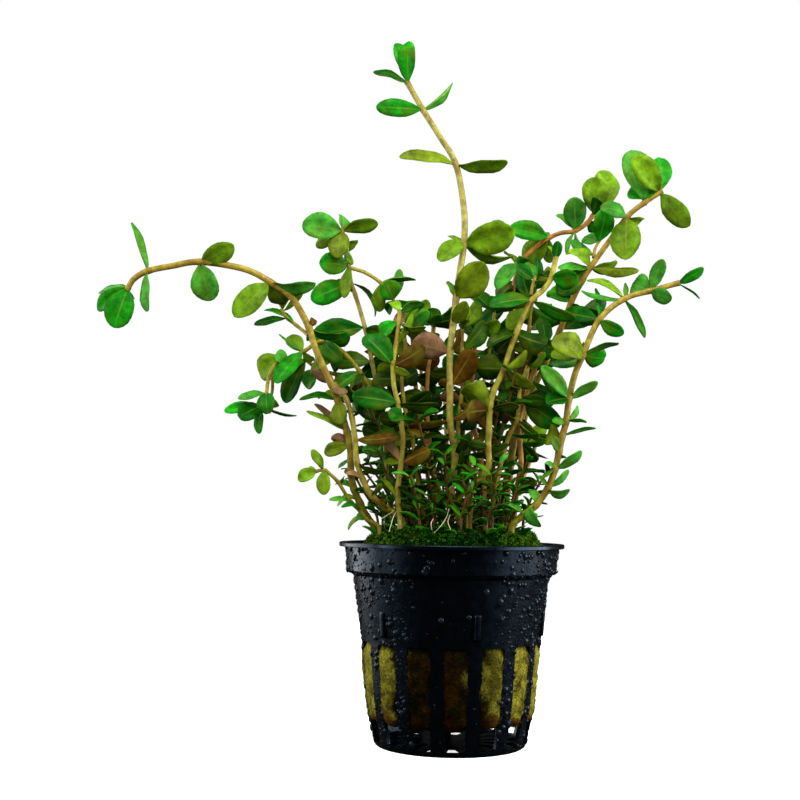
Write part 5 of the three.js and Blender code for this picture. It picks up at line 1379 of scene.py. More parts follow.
@dataclass
class Plant:
    """All shoots: the stems with their swollen nodes and the leaves."""

    growth: Growth  # the leaves' places
    drawn: list[list[Shoot]]  # each thicket's shoots
    sides: int = 8  # how many sides a stem has
    each: int = 9  # how many rings it has for each span of its route
    taper: float = 0.2  # how much thinner it is at its tip
    swell: float = 0.17  # how much thicker it is at a node
    node_reach: float = 0.8  # how far a node's swelling reaches, in millimetres
    # the height at which a stem's tip colour starts, and how much further up it is full
    toned: Two = (50.0, 70.0)
    fold: float = 0.32  # how far a blade's halves fold up
    wave: float = 0.045  # how far its edge waves
    ripples: Two = (11.0, 40.0)  # how often it waves, and how far chance shifts the waves

    def build(self) -> None:
        """Build one piece for each shoot in place of its solid, and one for each thicket."""
        blade, small = Blade().build(), SMALL_BLADE.build()
        recipe = self.recipe()
        for number, shoot in enumerate(SHOOTS):
            mesh = self.grow(recipe, blade, [self.points(shoot, number)])
            hand_in(shoot.node.replace("shoot_", "grown_"), mesh, [shoot.node])
        for thicket, shoots in zip(THICKETS, self.drawn):
            leafy = [(shoot, k) for k, shoot in enumerate(shoots) if self.growth.grown[shoot.node]]
            parts = [self.points(shoot, k) for shoot, k in leafy]
            hand_in(thicket.name, self.grow(recipe, small, parts), [])
        for helper in (blade, small):
            bpy.data.objects.remove(helper)

    def recipe(self) -> Recipe:
        """Build the tree: a tube along the joined points, a blade on each loose one.

        Returns:
            The recipe, which takes the blade as an input.
        """
        r = Recipe.start("shoot")
        blade, sides, fold, wave = r.form("Blade"), r.given("Sides", "Int"), r.given("Fold"), r.given("Wave")
        split = {"Geometry": r.entry.outputs[0], "Selection": r.stored("is_leaf")}
        parts = r.add("GeometryNodeSeparateGeometry", split)
        stem = r.dress(r.tube(parts.outputs["Inverted"], sides), StemFinish().make())
        leaves = r.dress(self.leaves(r, parts.outputs["Selection"], blade, fold, wave), LeafFinish().make())
        return r.close(r.join(leaves, stem))

    def leaves(self, r: Recipe, points: Any, blade: Any, fold: Any, wave: Any) -> Any:
        """Set the blades on their points and give each its own arch, fold and wave.

        Args:
            r: the tree.
            points: the leaves' points.
            blade: the blade.
            fold: how far a blade's halves fold up.
            wave: how far its edge waves.

        Returns:
            The leaves' geometry.
        """
        cloud = r.add("GeometryNodeMeshToPoints", {"Mesh": points}).outputs[0]
        face = r.stored("face", "FLOAT_VECTOR")
        axes = {"Primary Axis": r.stored("reach", "FLOAT_VECTOR"), "Secondary Axis": face}
        turn = r.add("FunctionNodeAxesToRotation", axes, primary_axis="Y", secondary_axis="Z").outputs[0]
        wide, long = r.stored("wide"), r.stored("long")
        size = r.add("ShaderNodeCombineXYZ", {"X": wide, "Y": long, "Z": 1.0}).outputs[0]
        blades = r.copies(cloud, blade, turn, size)
        along, luck = r.stored("along"), r.stored("luck")
        bow = r.times(along, r.minus(1.0, along), 4.0)
        rise = r.times(r.stored("arch"), long, bow)
        half = r.times(r.math("ABSOLUTE", r.stored("across")), wide)
        lift = r.times(half, bow, r.times(fold, luck))
        often, shift = self.ripples
        phase = r.plus(r.times(along, often), r.times(luck, shift))
        ripple = r.times(r.math("SINE", phase), r.times(half, wave))
        total = r.plus(r.plus(rise, lift), ripple)
        push = r.add("ShaderNodeVectorMath", {0: face, "Scale": total}, operation="SCALE").outputs[0]
        return r.add("GeometryNodeSetPosition", {0: blades, "Offset": push}).outputs[0]

    def grow(self, recipe: Recipe, blade: Object, parts: list[tuple]) -> Mesh:
        """Run the recipe on the points of one shoot or of several.

        Args:
            recipe: the recipe.
            blade: the blade to set on the leaves' points.
            parts: each shoot's columns, places and number of stem points.

        Returns:
            The stems and leaves.
        """
        columns = {
            name: (kind, np.concatenate([part[0][name][1] for part in parts]))
            for name, (kind, _) in parts[0][0].items()
        }
        pairs, start = [], 0
        for _, spots, count in parts:
            pairs += [(start + k, start + k + 1) for k in range(count - 1)]
            start += len(spots)
        cloud = dust(columns, np.vstack([part[1] for part in parts]), pairs)
        mesh = recipe.run(cloud, Blade=blade, Sides=self.sides, Fold=self.fold, Wave=self.wave)
        bpy.data.objects.remove(cloud)
        return mesh

    def points(self, shoot: Shoot, number: int) -> tuple[dict, Array, int]:
        """The points that the recipe works on for a shoot.

        Args:
            shoot: the shoot.
            number: its number, which seeds its chances.

        Returns:
            The points' columns, their places, and how many of them are the stem's.
        """
        placed = self.growth.grown[shoot.node]
        flat = [leaf for leaf, _ in placed]
        stem = self.growth.lines[shoot.node].steps(self.each)
        count, none = len(stem), np.zeros(len(flat))
        run = np.concatenate(([0.0], np.cumsum(np.linalg.norm(np.diff(stem, axis=0), axis=1))))
        shares = np.linspace(0, 1, count)
        nodes = np.array([np.interp(place, shares, run) for _, place in placed] or [-9.0])
        bulge = np.exp(-(((run[:, None] - nodes[None]) / self.node_reach) ** 2)).max(axis=1)
        slim = 1 - self.taper * run / max(run[-1], 1.0)
        thick = shoot.radius * slim * (1 + self.swell * bulge)
        usual = StemTone.GREEN if shoot.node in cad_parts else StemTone.SHADED
        foot, tip = (np.array(c) for c in STEM_TONES.get(shoot.node, usual).value)
        start, further = self.toned
        shade = foot + (tip - foot) * np.clip((stem[:, 2] - start) / further, 0, 1)[:, None]
        eye = np.array(VIEW.eye)
        seen = [leaf.normal @ (eye - leaf.base) > 0 for leaf in flat]
        tones = [leaf.tone.value[1:] if up else leaf.tone.value[:0:-1] for leaf, up in zip(flat, seen)]

        def column(on_stem: Any, on_leaves: Any, kind: str = "FLOAT", size: int = 1) -> tuple:
            """One attribute of the stem's points and then the leaves'.

            Args:
                on_stem: the stem's value or values.
                on_leaves: the leaves' values.
                kind: its type.
                size: how many numbers each value has.

            Returns:
                Its type and values.
            """
            made = np.zeros((count + len(flat), size))
            made[:count] = np.reshape(on_stem, (-1, size)) if np.size(on_stem) > 1 else on_stem
            made[count:] = np.reshape(on_leaves, (len(flat), size))
            return kind, made

        columns = {
            "is_leaf": column(0.0, none + 1),
            "thick": column(thick * MM, none),
            "swell": column(bulge, none),
            "luck": column(0.5, np.random.default_rng(number).random(len(flat))),
            "wide": column(0.0, [leaf.wide * MM for leaf in flat]),
            "long": column(0.0, [leaf.length * MM for leaf in flat]),
            "arch": column(0.0, [leaf.bend for leaf in flat]),
            "reach": column(0.0, [leaf.axis for leaf in flat], "FLOAT_VECTOR", 3),
            "face": column(0.0, [leaf.normal for leaf in flat], "FLOAT_VECTOR", 3),
            "tone": column(shade, [shown for shown, _ in tones], "FLOAT_COLOR", 4),
            "back": column(0.0, [other for _, other in tones], "FLOAT_COLOR", 4),
        }
        return columns, np.vstack([stem, *(leaf.base[None] for leaf in flat)]) * MM, count


@dataclass(frozen=True)
class PlasticFinish:
    """Black moulded plastic, wet: deep black with a soft gloss and a faint moulding grain."""

    base: Colour = colour(0.0002, 0.0003, 0.0004)
    grey: Colour = colour(0.0004, 0.0005, 0.0008)
    # the blue of the lamps' reflections, painted into the plastic's specular tint
    painted_blue_sheen: Colour = colour(0.34, 0.62, 1.0)

    def make(self) -> Material:
        """Build the material.

        Returns:
            The plastic material.
        """
        s = Shader.start("black_plastic")
        base = s.mix(s.span(s.grain(260.0, 5.0, 0.65), 0.42, 0.7), self.base, self.grey)
        rough = s.span(s.grain(520.0, 4.0, 0.6), 0.3, 0.7, 0.24, 0.34)
        normal = s.bump(s.grain(420.0, 2.0), 0.00003, 0.4)
        return s.surface(base, rough, 0.3, Normal=normal, Specular_Tint=self.painted_blue_sheen)


@dataclass(frozen=True)
class BeadFinish:
    """A wet bead on black plastic: mirror smooth, and near black in its own colour, as the black behind
    clear water would look.
    """

    deep: Colour = colour(0.0015, 0.002, 0.003)
    clear: Colour = colour(0.004, 0.005, 0.007)
    # the blue of the lamps' reflections, painted into the bead's specular tint
    painted_blue_sheen: Colour = colour(0.45, 0.7, 1.0)

    def make(self) -> Material:
        """Build the material.

        Returns:
            The bead material.
        """
        s = Shader.start("wet_bead")
        base = s.mix(s.span(s.grain(300.0), 0.35, 0.65), self.deep, self.clear)
        rough = s.span(s.grain(800.0), 0.3, 0.7, 0.03, 0.1)
        return s.surface(base, rough, 0.17, Specular_Tint=self.painted_blue_sheen)


@dataclass
class Segment:
    """The corners and faces of one slot with half a rib on both sides, while it is built."""

    beside: int  # how many steps half a rib has
    across: int  # how many steps a slot has
    points: list[Triple] = field(default_factory=list)  # the corners so far
    faces: Faces = field(default_factory=list)  # the faces so far
    wet: list[float] = field(default_factory=list)  # for each face, whether beads may stand on it

    def line(self, radius: float, height: float, angles: Sequence[float], flat: bool = False) -> int:
        """Add a row of corners and give its first number.

        Args:
            radius: its distance from the axis.
            height: its height.
            angles: the corners' turns from the front.
            flat: whether the row is straight instead of round.

        Returns:
            The number of its first corner.
        """
        for angle in angles:
            reach = radius / math.cos(angle) if flat else radius
            self.points.append((reach * math.sin(angle), -reach * math.cos(angle), height))
        return len(self.points) - len(angles)

    def face(self, *corners: int, wet: bool = False) -> None:
        """Add a face."""
        self.faces.append(corners)
        self.wet.append(float(wet))

    def band(self, low: int, high: int, opened: bool = False, wet: bool = False) -> None:
        """Join two rows.

        Args:
            low: the first corner of one row.
            high: the first corner of the row beyond it.
            opened: whether the slot stays open between them.
            wet: whether beads may stand on it.
        """
        for k in range(2 * self.beside + self.across):
            if not (opened and self.beside <= k < self.beside + self.across):
                self.face(low + k, low + k + 1, high + k + 1, high + k, wet=wet)

    def sides(self, out: int, out_up: int, inner: int, inner_up: int) -> None:
        """Wall up an opening's two sides.

        Args:
            out: the first corner of the outer row.
            out_up: that of the outer row above it.
            inner: that of the inner row.
            inner_up: that of the inner row above it.
        """
        k = self.beside
        self.face(out + k, out_up + k, inner_up + k, inner + k)
        k += self.across
        self.face(inner + k, inner_up + k, out_up + k, out + k)

    def end(self, out: int, inner: int, lower: bool) -> None:
        """Wall up an opening's lower or upper end.

        Args:
            out: the first corner of the outer row.
            inner: that of the inner row.
            lower: whether it is the lower end.
        """
        for k in range(self.beside, self.beside + self.across):
            corners = (out + k, out + k + 1, inner + k + 1, inner + k)
            self.face(*(corners[::-1] if lower else corners))


@dataclass
class Pot:
    """The net pot, built from one of its fifteen slots and ribs. Sizes are in millimetres."""

    slots: int = 15  # how many slots it has
    first_rib: float = 13.3  # the turn of the first rib and the first lug from the front, in degrees
    wall: float = 0.95  # the wall's thickness
    outside: Outline = (  # the wall from its foot up: radius and height
        (18.1, 0.0), (18.55, 0.3), (18.8, 0.9), (20.7, 10.6), (22.1, 25.5), (24.2, 41.3),
    )
    # the collar from its foot up: radius and height, and how far the inside lies further in and up
    collar: tuple[tuple[float, float, float, float], ...] = (
        (24.2, 41.3, 0.95, 0.3), (25.75, 42.4, 1.0, 0.6), (26.0, 42.6, 0.95, 0.8), (26.4, 48.3, 0.95, 0.9),
    )
    lip: Outline = (  # the lip's section, from the collar's head over to the inside
        (27.1, 48.4), (27.85, 48.35), (28.0, 48.5), (28.0, 49.2), (27.85, 49.36), (27.3, 49.38),
        (26.4, 49.4), (25.6, 49.4),
    )
    floor: float = 1.0  # the floor's thickness
    dish: float = 0.02  # how much its inside rises along the wall's foot
    disc: float = 8.0  # where the floor's holes start
    ring: float = 16.6  # where they end
    spoke: float = 1.8  # the spokes' width
    slot_foot: float = 1.25  # the slots' lower ends
    slot_top: float = 25.5  # their upper ends
    slot_widths: Two = (4.6, 5.9)  # their widths at both ends
    corner: float = 0.7  # the radius of their corners
    corner_steps: Two = (0.1, 0.4)  # the corners' rows between both ends, as shares of that radius
    # the heights of the wall's other rows, of which the last stand above the slots' top
    levels: tuple[tuple[float, ...], ...] = ((4.0, 7.3, 10.6, 14.0, 17.5, 20.5, 23.0), (2.5, 6.0, 11.0))
    across: int = 6  # how many steps a slot has
    beside: int = 3  # how many steps half a rib has
    sharp: float = 38.0  # the angle from which an edge is sharp, in degrees
    lugs: int = 6  # how many lugs stand on the wall
    # a lug's width, lower and upper end, and how far it stands from the axis
    lug: tuple[float, float, float, float] = (1.5, 27.2, 33.4, 23.75)
    lug_edge: Outline = ((0.0, 0.3), (0.22, 0.06))  # its long edges: how far in from the side and the front
    lug_ends: Outline = ((0.0, 0.35), (0.2, 0.08), (0.5, 0.0))  # its ends: how far along, and how far in
    lug_sunk: float = 0.3  # how far it reaches into the wall
    lug_slope: Two = (0.55, 0.5)  # how much of the wall's slope its front follows, and how far in it starts
    lug_taper: float = 0.3  # how much narrower its ends are

    def radius(self, height: float) -> float:
        """The wall's outer radius at a height."""
        return float(np.interp(height, [z for _, z in self.outside], [r for r, _ in self.outside]))

    def half_slot(self, height: float) -> float:
        """Half the slot's width, with its rounded corners.

        Args:
            height: the height at which it counts.

        Returns:
            Half the width.
        """
        share = (height - self.slot_foot) / (self.slot_top - self.slot_foot)
        low, high = self.slot_widths
        half = (low + (high - low) * min(1.0, max(0.0, share))) / 2
        end = min(self.slot_top - height, height - self.slot_foot)
        if 0 <= end < self.corner:
            half -= self.corner - math.sqrt(self.corner**2 - (self.corner - end) ** 2)
        return half

    def rows(self) -> list[tuple[float, float, float, float, float, bool]]:
        """The segment's rows from the floor's middle up.

        Returns:
            For each row: the outer radius and height, the inner ones, the slot's half angle, and
            whether the slot is open between this row and the next.
        """
        half = math.pi / self.slots
        rows = [(0.0, 0.0, 0.0, self.floor, half / 2, False)]
        for reach, is_open in ((self.disc, True), (self.ring, False)):
            angle = math.atan((reach * math.sin(half) - self.spoke / 2) / reach)
            rows.append((reach, 0.0, reach, self.floor, angle, is_open))
        c, foot, top, wall = self.corner, self.slot_foot, self.slot_top, self.wall
        edge = self.half_slot(foot + c)
        for r, z in self.outside[:3]:
            rows.append((r, z, self.radius(self.floor) - wall, self.floor + self.dish * z, edge / r, False))
        steps = [0.0, *(c * share for share in self.corner_steps), c]
        levels = [foot + step for step in steps] + [*self.levels[0]] + [top - step for step in steps[::-1]]
        for z in levels + [top + above for above in self.levels[1]]:
            r = self.radius(z)
            rows.append((r, z, r - wall, z, self.half_slot(z) / r, foot <= z < top))
        wide = self.half_slot(top - c) / self.radius(top)
        return rows + [(r, z, r - inset, z + up, wide, False) for r, z, inset, up in self.collar]

    def columns(self, half_slot: float) -> list[float]:
        """The columns' angles across one segment.

        Args:
            half_slot: the slot's half angle.

        Returns:
            The angles from left to right.
        """
        half = math.pi / self.slots
        left = [-half + (half - half_slot) * k / self.beside for k in range(self.beside)]
        middle = [-half_slot + 2 * half_slot * k / self.across for k in range(self.across + 1)]
        return left + middle + [-angle for angle in reversed(left)]

    def segment(self) -> Mesh:
        """Build one slot with half a rib on both sides, from the floor's middle to the lip.

        Returns:
            The segment's mesh, its outer wall marked for the beads.
        """
        rows, made = self.rows(), Segment(self.beside, self.across)
        angles = [self.columns(row[4]) for row in rows]
        flat = [k in (1, 2) for k in range(len(rows))]
        outs = [made.line(*row[:2], *rest) for row, *rest in zip(rows, angles, flat)]
        ins = [made.line(*row[2:4], *rest) for row, *rest in zip(rows, angles, flat)]
        for k in range(len(rows) - 1):
            opened = rows[k][5]
            made.band(outs[k], outs[k + 1], opened, k > 4)
            made.band(ins[k + 1], ins[k], opened)
            if opened:
                made.sides(outs[k], outs[k + 1], ins[k], ins[k + 1])
                if not rows[k - 1][5]:
                    made.end(outs[k], ins[k], True)
                if not rows[k + 1][5]:
                    made.end(outs[k + 1], ins[k + 1], False)
        over = [outs[-1], *(made.line(r, z, angles[-1]) for r, z in self.lip), ins[-1]]
        for low, high in zip(over, over[1:]):
            made.band(low, high)
        mesh = skin("pot_segment", made.points, made.faces, MM)
        mark(mesh, "outer", made.wet, "FACE")
        return mesh

    def lug_form(self) -> Mesh:
        """Build one lug at the front: a slim bar with rounded long edges and a sloped head.

        Returns:
            The lug's mesh.
        """
        wide, low, high, far = self.lug
        (slope, back), near, half = self.lug_slope, self.radius(low) - self.lug_sunk, wide / 2
        side = [(half, near), *((half - x, far - y) for x, y in self.lug_edge)]
        outline = [(-x, y) for x, y in side] + [(0.0, far)] + side[::-1]
        heights = [(low + off, inset) for off, inset in self.lug_ends]
        heights += [(high - off, inset) for off, inset in self.lug_ends[::-1]]
        points: list[Triple] = []
        for z, inset in heights:
            lean = (self.radius(z) - self.radius(low)) * slope
            for x, y in outline:
                reach = max(near, y - inset + (lean - back if y > near else 0.0))
                points.append((x * (1 - inset * self.lug_taper), -reach, z))
        step, last = len(outline), len(points) - len(outline)
        caps = [tuple(range(step))[::-1], tuple(range(last, len(points)))]
        return skin("lug", points, belt(len(heights), step) + caps, MM, smooth=False)

    def build(self) -> None:
        """Build the pot and its beads."""
        ring = self.ring_recipe(PlasticFinish().make())
        wall = self.repeat(ring, self.segment(), self.slots, self.first_rib + 180 / self.slots)
        wall.data.set_sharp_from_angle(angle=math.radians(self.sharp))
        lugs = self.repeat(ring, self.lug_form(), self.lugs, self.first_rib)
        join = Recipe.start("join")
        join.close(join.join(join.entry.outputs[0], join.form("Other")))
        hand_in("net_pot", join.run(wall, [lugs], Other=lugs), ["pot"])
        Beads().build(wall)
        bpy.data.objects.remove(wall)

    def ring_recipe(self, material: Material) -> Recipe:
        """The tree that sets copies round the axis and welds their shared edges.

        Args:
            material: the copies' material.

        Returns:
            The recipe.
        """
        r = Recipe.start("ring")
        count, first = r.given("Count", "Int"), r.given("First")
        spots = r.add("GeometryNodePoints", {"Count": count}).outputs[0]
        number = r.add("GeometryNodeInputIndex").outputs[0]
        turn = r.plus(r.math("DIVIDE", r.times(number, FULL_TURN), count), first)
        real = r.copies(spots, r.entry.outputs[0], r.rotation(Z=turn))
        welded = r.add("GeometryNodeMergeByDistance", {"Geometry": real, "Distance": 0.002 * MM})
        return r.close(r.dress(welded.outputs[0], material))

    def repeat(self, ring: Recipe, mesh: Mesh, count: int, first: float) -> Object:
        """Set copies of a mesh round the axis, the first at a turn in degrees from the front."""
        base = stand("part", mesh)
        return stand("parts", ring.run(base, [base], Count=count, First=math.radians(first)))


@dataclass
class Beads:
    """The wet finish of the pot's outside: small low domes on its flanks, a few of them larger."""

    spacing: float = 0.58 * MM  # the least distance between two, in metres
    density: float = 1.5e6  # how many a square metre holds at most
    small: float = 0.17 * MM  # the radius of most, in metres
    large: float = 0.9 * MM  # the radius of the largest
    # where they start to thicken beside the middle, and from where they are dense
    flank: Two = (8.5 * MM, 13.5 * MM)
    front: float = 0.05  # the share that the front has
    rare: float = 5.0  # how rare larger ones are
    tall: Two = (0.85, 1.35)  # how tall they are for their width, from least to most
    seeds: tuple[int, int, int] = (11, 5, 8)  # the seeds of their places, their sizes and their heights
    sides: int = 7  # how many sides a dome has
    # a dome's rings from its foot, for the radius one: radius and height
    rings: Outline = ((1.0, -0.12), (0.94, 0.16), (0.62, 0.42))
    top: float = 0.52  # its top

    def dome(self) -> Object:
        """Build a dome of radius one, a little sunk into what it stands on.

        Returns:
            The dome's object.
        """
        points = [spot for r, z in self.rings for spot in circle(r, z, self.sides)]
        last = len(points)
        faces = belt(len(self.rings), self.sides) + fan(last, last - self.sides, self.sides)
        faces.append(tuple(range(self.sides))[::-1])
        return stand("dome", skin("dome", [*points, (0.0, 0.0, self.top)], faces))

    def build(self, wall: Object) -> None:
        """Set the beads on the pot's outer wall.

        Args:
            wall: the wall, its outer faces marked.
        """
        dome = self.dome()
        r = Recipe.start("beads")
        spacing, density = r.given("Spacing"), r.given("Density")
        small, large, form = r.given("Small"), r.given("Large"), r.form("Dome")
        aside, (start, end) = r.math("ABSOLUTE", r.place("X")), self.flank
        flank = r.add("ShaderNodeMapRange", {0: aside, 1: start, 2: end, 3: self.front, 4: 1.0})
        seed, size_seed, tall_seed = self.seeds
        spread = r.add("GeometryNodeDistributePointsOnFaces", {
            "Mesh": r.entry.outputs[0], "Distance Min": spacing, "Density Max": density,
            "Density Factor": r.times(r.stored("outer"), flank.outputs[0]), "Seed": seed,
        }, distribute_method="POISSON")
        luck = r.math("POWER", r.draw(0.0, 1.0, size_seed), self.rare)
        size = r.plus(small, r.times(luck, r.minus(large, small)))
        tall = r.times(size, r.draw(*self.tall, tall_seed))
        scale = r.add("ShaderNodeCombineXYZ", {"X": size, "Y": tall, "Z": size}).outputs[0]
        real = r.copies(spread.outputs["Points"], form, spread.outputs["Rotation"], scale)
        r.close(r.dress(real, BeadFinish().make()))
        mesh = r.run(wall, [dome], Spacing=self.spacing, Density=self.density, Small=self.small,
                     Large=self.large, Dome=dome)
        hand_in("wet_beads", mesh, [])


@dataclass(frozen=True)
class WoolFinish:
    """Soaked mineral wool: olive yellow with rusty patches; near black at the middle of its front, partly
    wet wool and partly painted shade, and darker towards its middle across by painted shade.
    """

    pale: Colour = colour(0.14, 0.13, 0.014)  # the palest wool
    olive: Colour = colour(0.052, 0.046, 0.005)  # the wool between
    rust: Colour = colour(0.035, 0.01, 0.001)  # its rusty patches
    dark: Colour = colour(0.0015, 0.0008, 0.0001)  # the darkest wool
    deep: Colour = colour(0.012, 0.0035, 0.0001)  # the rusty patches of the dark front middle, which is partly wet wool and partly painted shade
    # the dark part of its front, partly wet wool and partly painted shade: its middle, and how far it
    # reaches to each side
    wet_and_shaded: Two = (-0.004, 0.0105)
    front: Two = (-0.012, -0.006)  # how far forward that part ends and is full
    # the painted shade that darkens the wool towards its middle across, and the painted light towards its
    # sides: its middle, and how far from there it starts to clear and is clear
    sunk: tuple[float, float, float] = (-0.001, 0.009, 0.019)
    low: Two = (0.008, 0.0105)  # the heights at which the dark foot ends: full, and gone

    def make(self, name: str, lift: float) -> Material:
        """Build the material.

        Args:
            name: the material's name.
            lift: how bright it is; the fibres' greater lift is a painted highlight on the strands.

        Returns:
            The wool material.
        """
        s = Shader.start(name)
        base = s.mix(s.span(s.grain(260.0, 5.0, 0.65), 0.38, 0.6), self.olive, self.pale)
        base = s.mix(s.span(s.grain(130.0, 4.0, 0.7), 0.56, 0.7, 0.0, 0.9), base, self.rust)
        base = s.mix(s.span(s.grain(420.0, 5.0, 0.7), 0.52, 0.7, 0.0, 0.85), base, self.dark)
        across, deep, high = (s.part(s.place(), axis) for axis in "XYZ")
        # the front's middle goes near black: partly wet wool, partly painted shade where the side lamps
        # leave it unlit
        middle, reach = self.wet_and_shaded
        off = s.math("ABSOLUTE", s.minus(across, middle))
        edge = s.plus(off, s.span(s.grain(170.0, 4.0), 0.3, 0.7, -0.004, 0.003))
        wet = s.times(s.span(edge, reach * 0.7, reach, 0.97, 0.0), s.span(deep, *self.front, 1.0, 0.0))
        base = s.mix(wet, base, s.mix(s.span(s.grain(300.0, 4.0), 0.46, 0.64), self.dark, self.deep))
        level = s.plus(high, s.span(s.grain(240.0), 0.3, 0.7, -0.0015, 0.0015))
        base = s.mix(s.span(level, *self.low, 0.85, 0.0), base, s.mix(wet, self.rust, self.deep))
        # painted shade and light: darker towards the middle across, brighter towards the sides where the
        # side lamps fall
        middle, start, end = self.sunk
        far = s.math("ABSOLUTE", s.minus(across, middle))
        base = s.brighten(s.span(far, start, end, 0.55, 1.2), base)
        # fine grain times the lift; for the fibres the lift is a painted highlight
        base = s.brighten(s.times(s.span(s.grain(2300.0, 3.0, 0.7), 0.3, 0.7, 0.35, 1.6), lift), base)
        rough = s.span(s.grain(900.0), 0.3, 0.7, 0.75, 0.95)
        return s.surface(base, rough, 0.01, Normal=s.bump(s.grain(2600.0, 4.0, 0.7), 0.0004, 0.8))


@dataclass(frozen=True)
class MossFinish:
    """Short moss: each tuft its own green, with brown and yellowish spots between them, and painted light
    that brightens the tufts towards its sides.
    """

    dark: Colour = colour(0.0002, 0.006, 0.0001)
    green: Colour = colour(0.0015, 0.028, 0.0002)
    bright: Colour = colour(0.025, 0.075, 0.002)
    brown: Colour = colour(0.018, 0.012, 0.001)
    # the painted light on the moss's sides, where the side lamps fall
    lit: Colour = colour(0.045, 0.105, 0.003)

    def make(self) -> Material:
        """Build the material.

        Returns:
            The moss material.
        """
        s = Shader.start("moss")
        luck, aside = s.stored("luck"), s.math("ABSOLUTE", s.part(s.place(), "X"))
        base = s.mix(s.span(luck, 0.1, 0.75), self.dark, self.green)
        base = s.mix(s.span(luck, 0.6, 1.0, 0.0, 0.8), base, self.bright)
        # painted light: tufts towards the sides across lean to the lit colour
        outer = s.span(s.plus(aside, s.span(s.grain(150.0), 0.3, 0.7, -0.005, 0.005)), 0.009, 0.019)
        base = s.mix(s.times(outer, s.span(luck, 0.25, 0.9, 0.1, 0.75)), base, self.lit)
        base = s.mix(s.span(s.grain(210.0), 0.56, 0.72, 0.0, 0.65), base, self.brown)
        base = s.brighten(s.span(s.grain(1500.0), 0.3, 0.7, 0.6, 1.4), base)
        rough = s.span(s.grain(900.0), 0.3, 0.7, 0.6, 0.85)
        return s.surface(base, rough, 0.02, Normal=s.bump(s.grain(2400.0), 0.0003, 0.7))


@dataclass(frozen=True)
class RootFinish:
    """Fine roots: off-white, a little brown where they are older."""

    pale: Colour = colour(0.34, 0.31, 0.19)
    old: Colour = colour(0.17, 0.12, 0.05)

    def make(self) -> Material:
        """Build the material.

        Returns:
            The root material.
        """
        s = Shader.start("root")
        base = s.mix(s.span(s.grain(300.0), 0.4, 0.7), self.pale, self.old)
        return s.surface(base, s.span(s.grain(900.0), 0.3, 0.7, 0.45, 0.65))


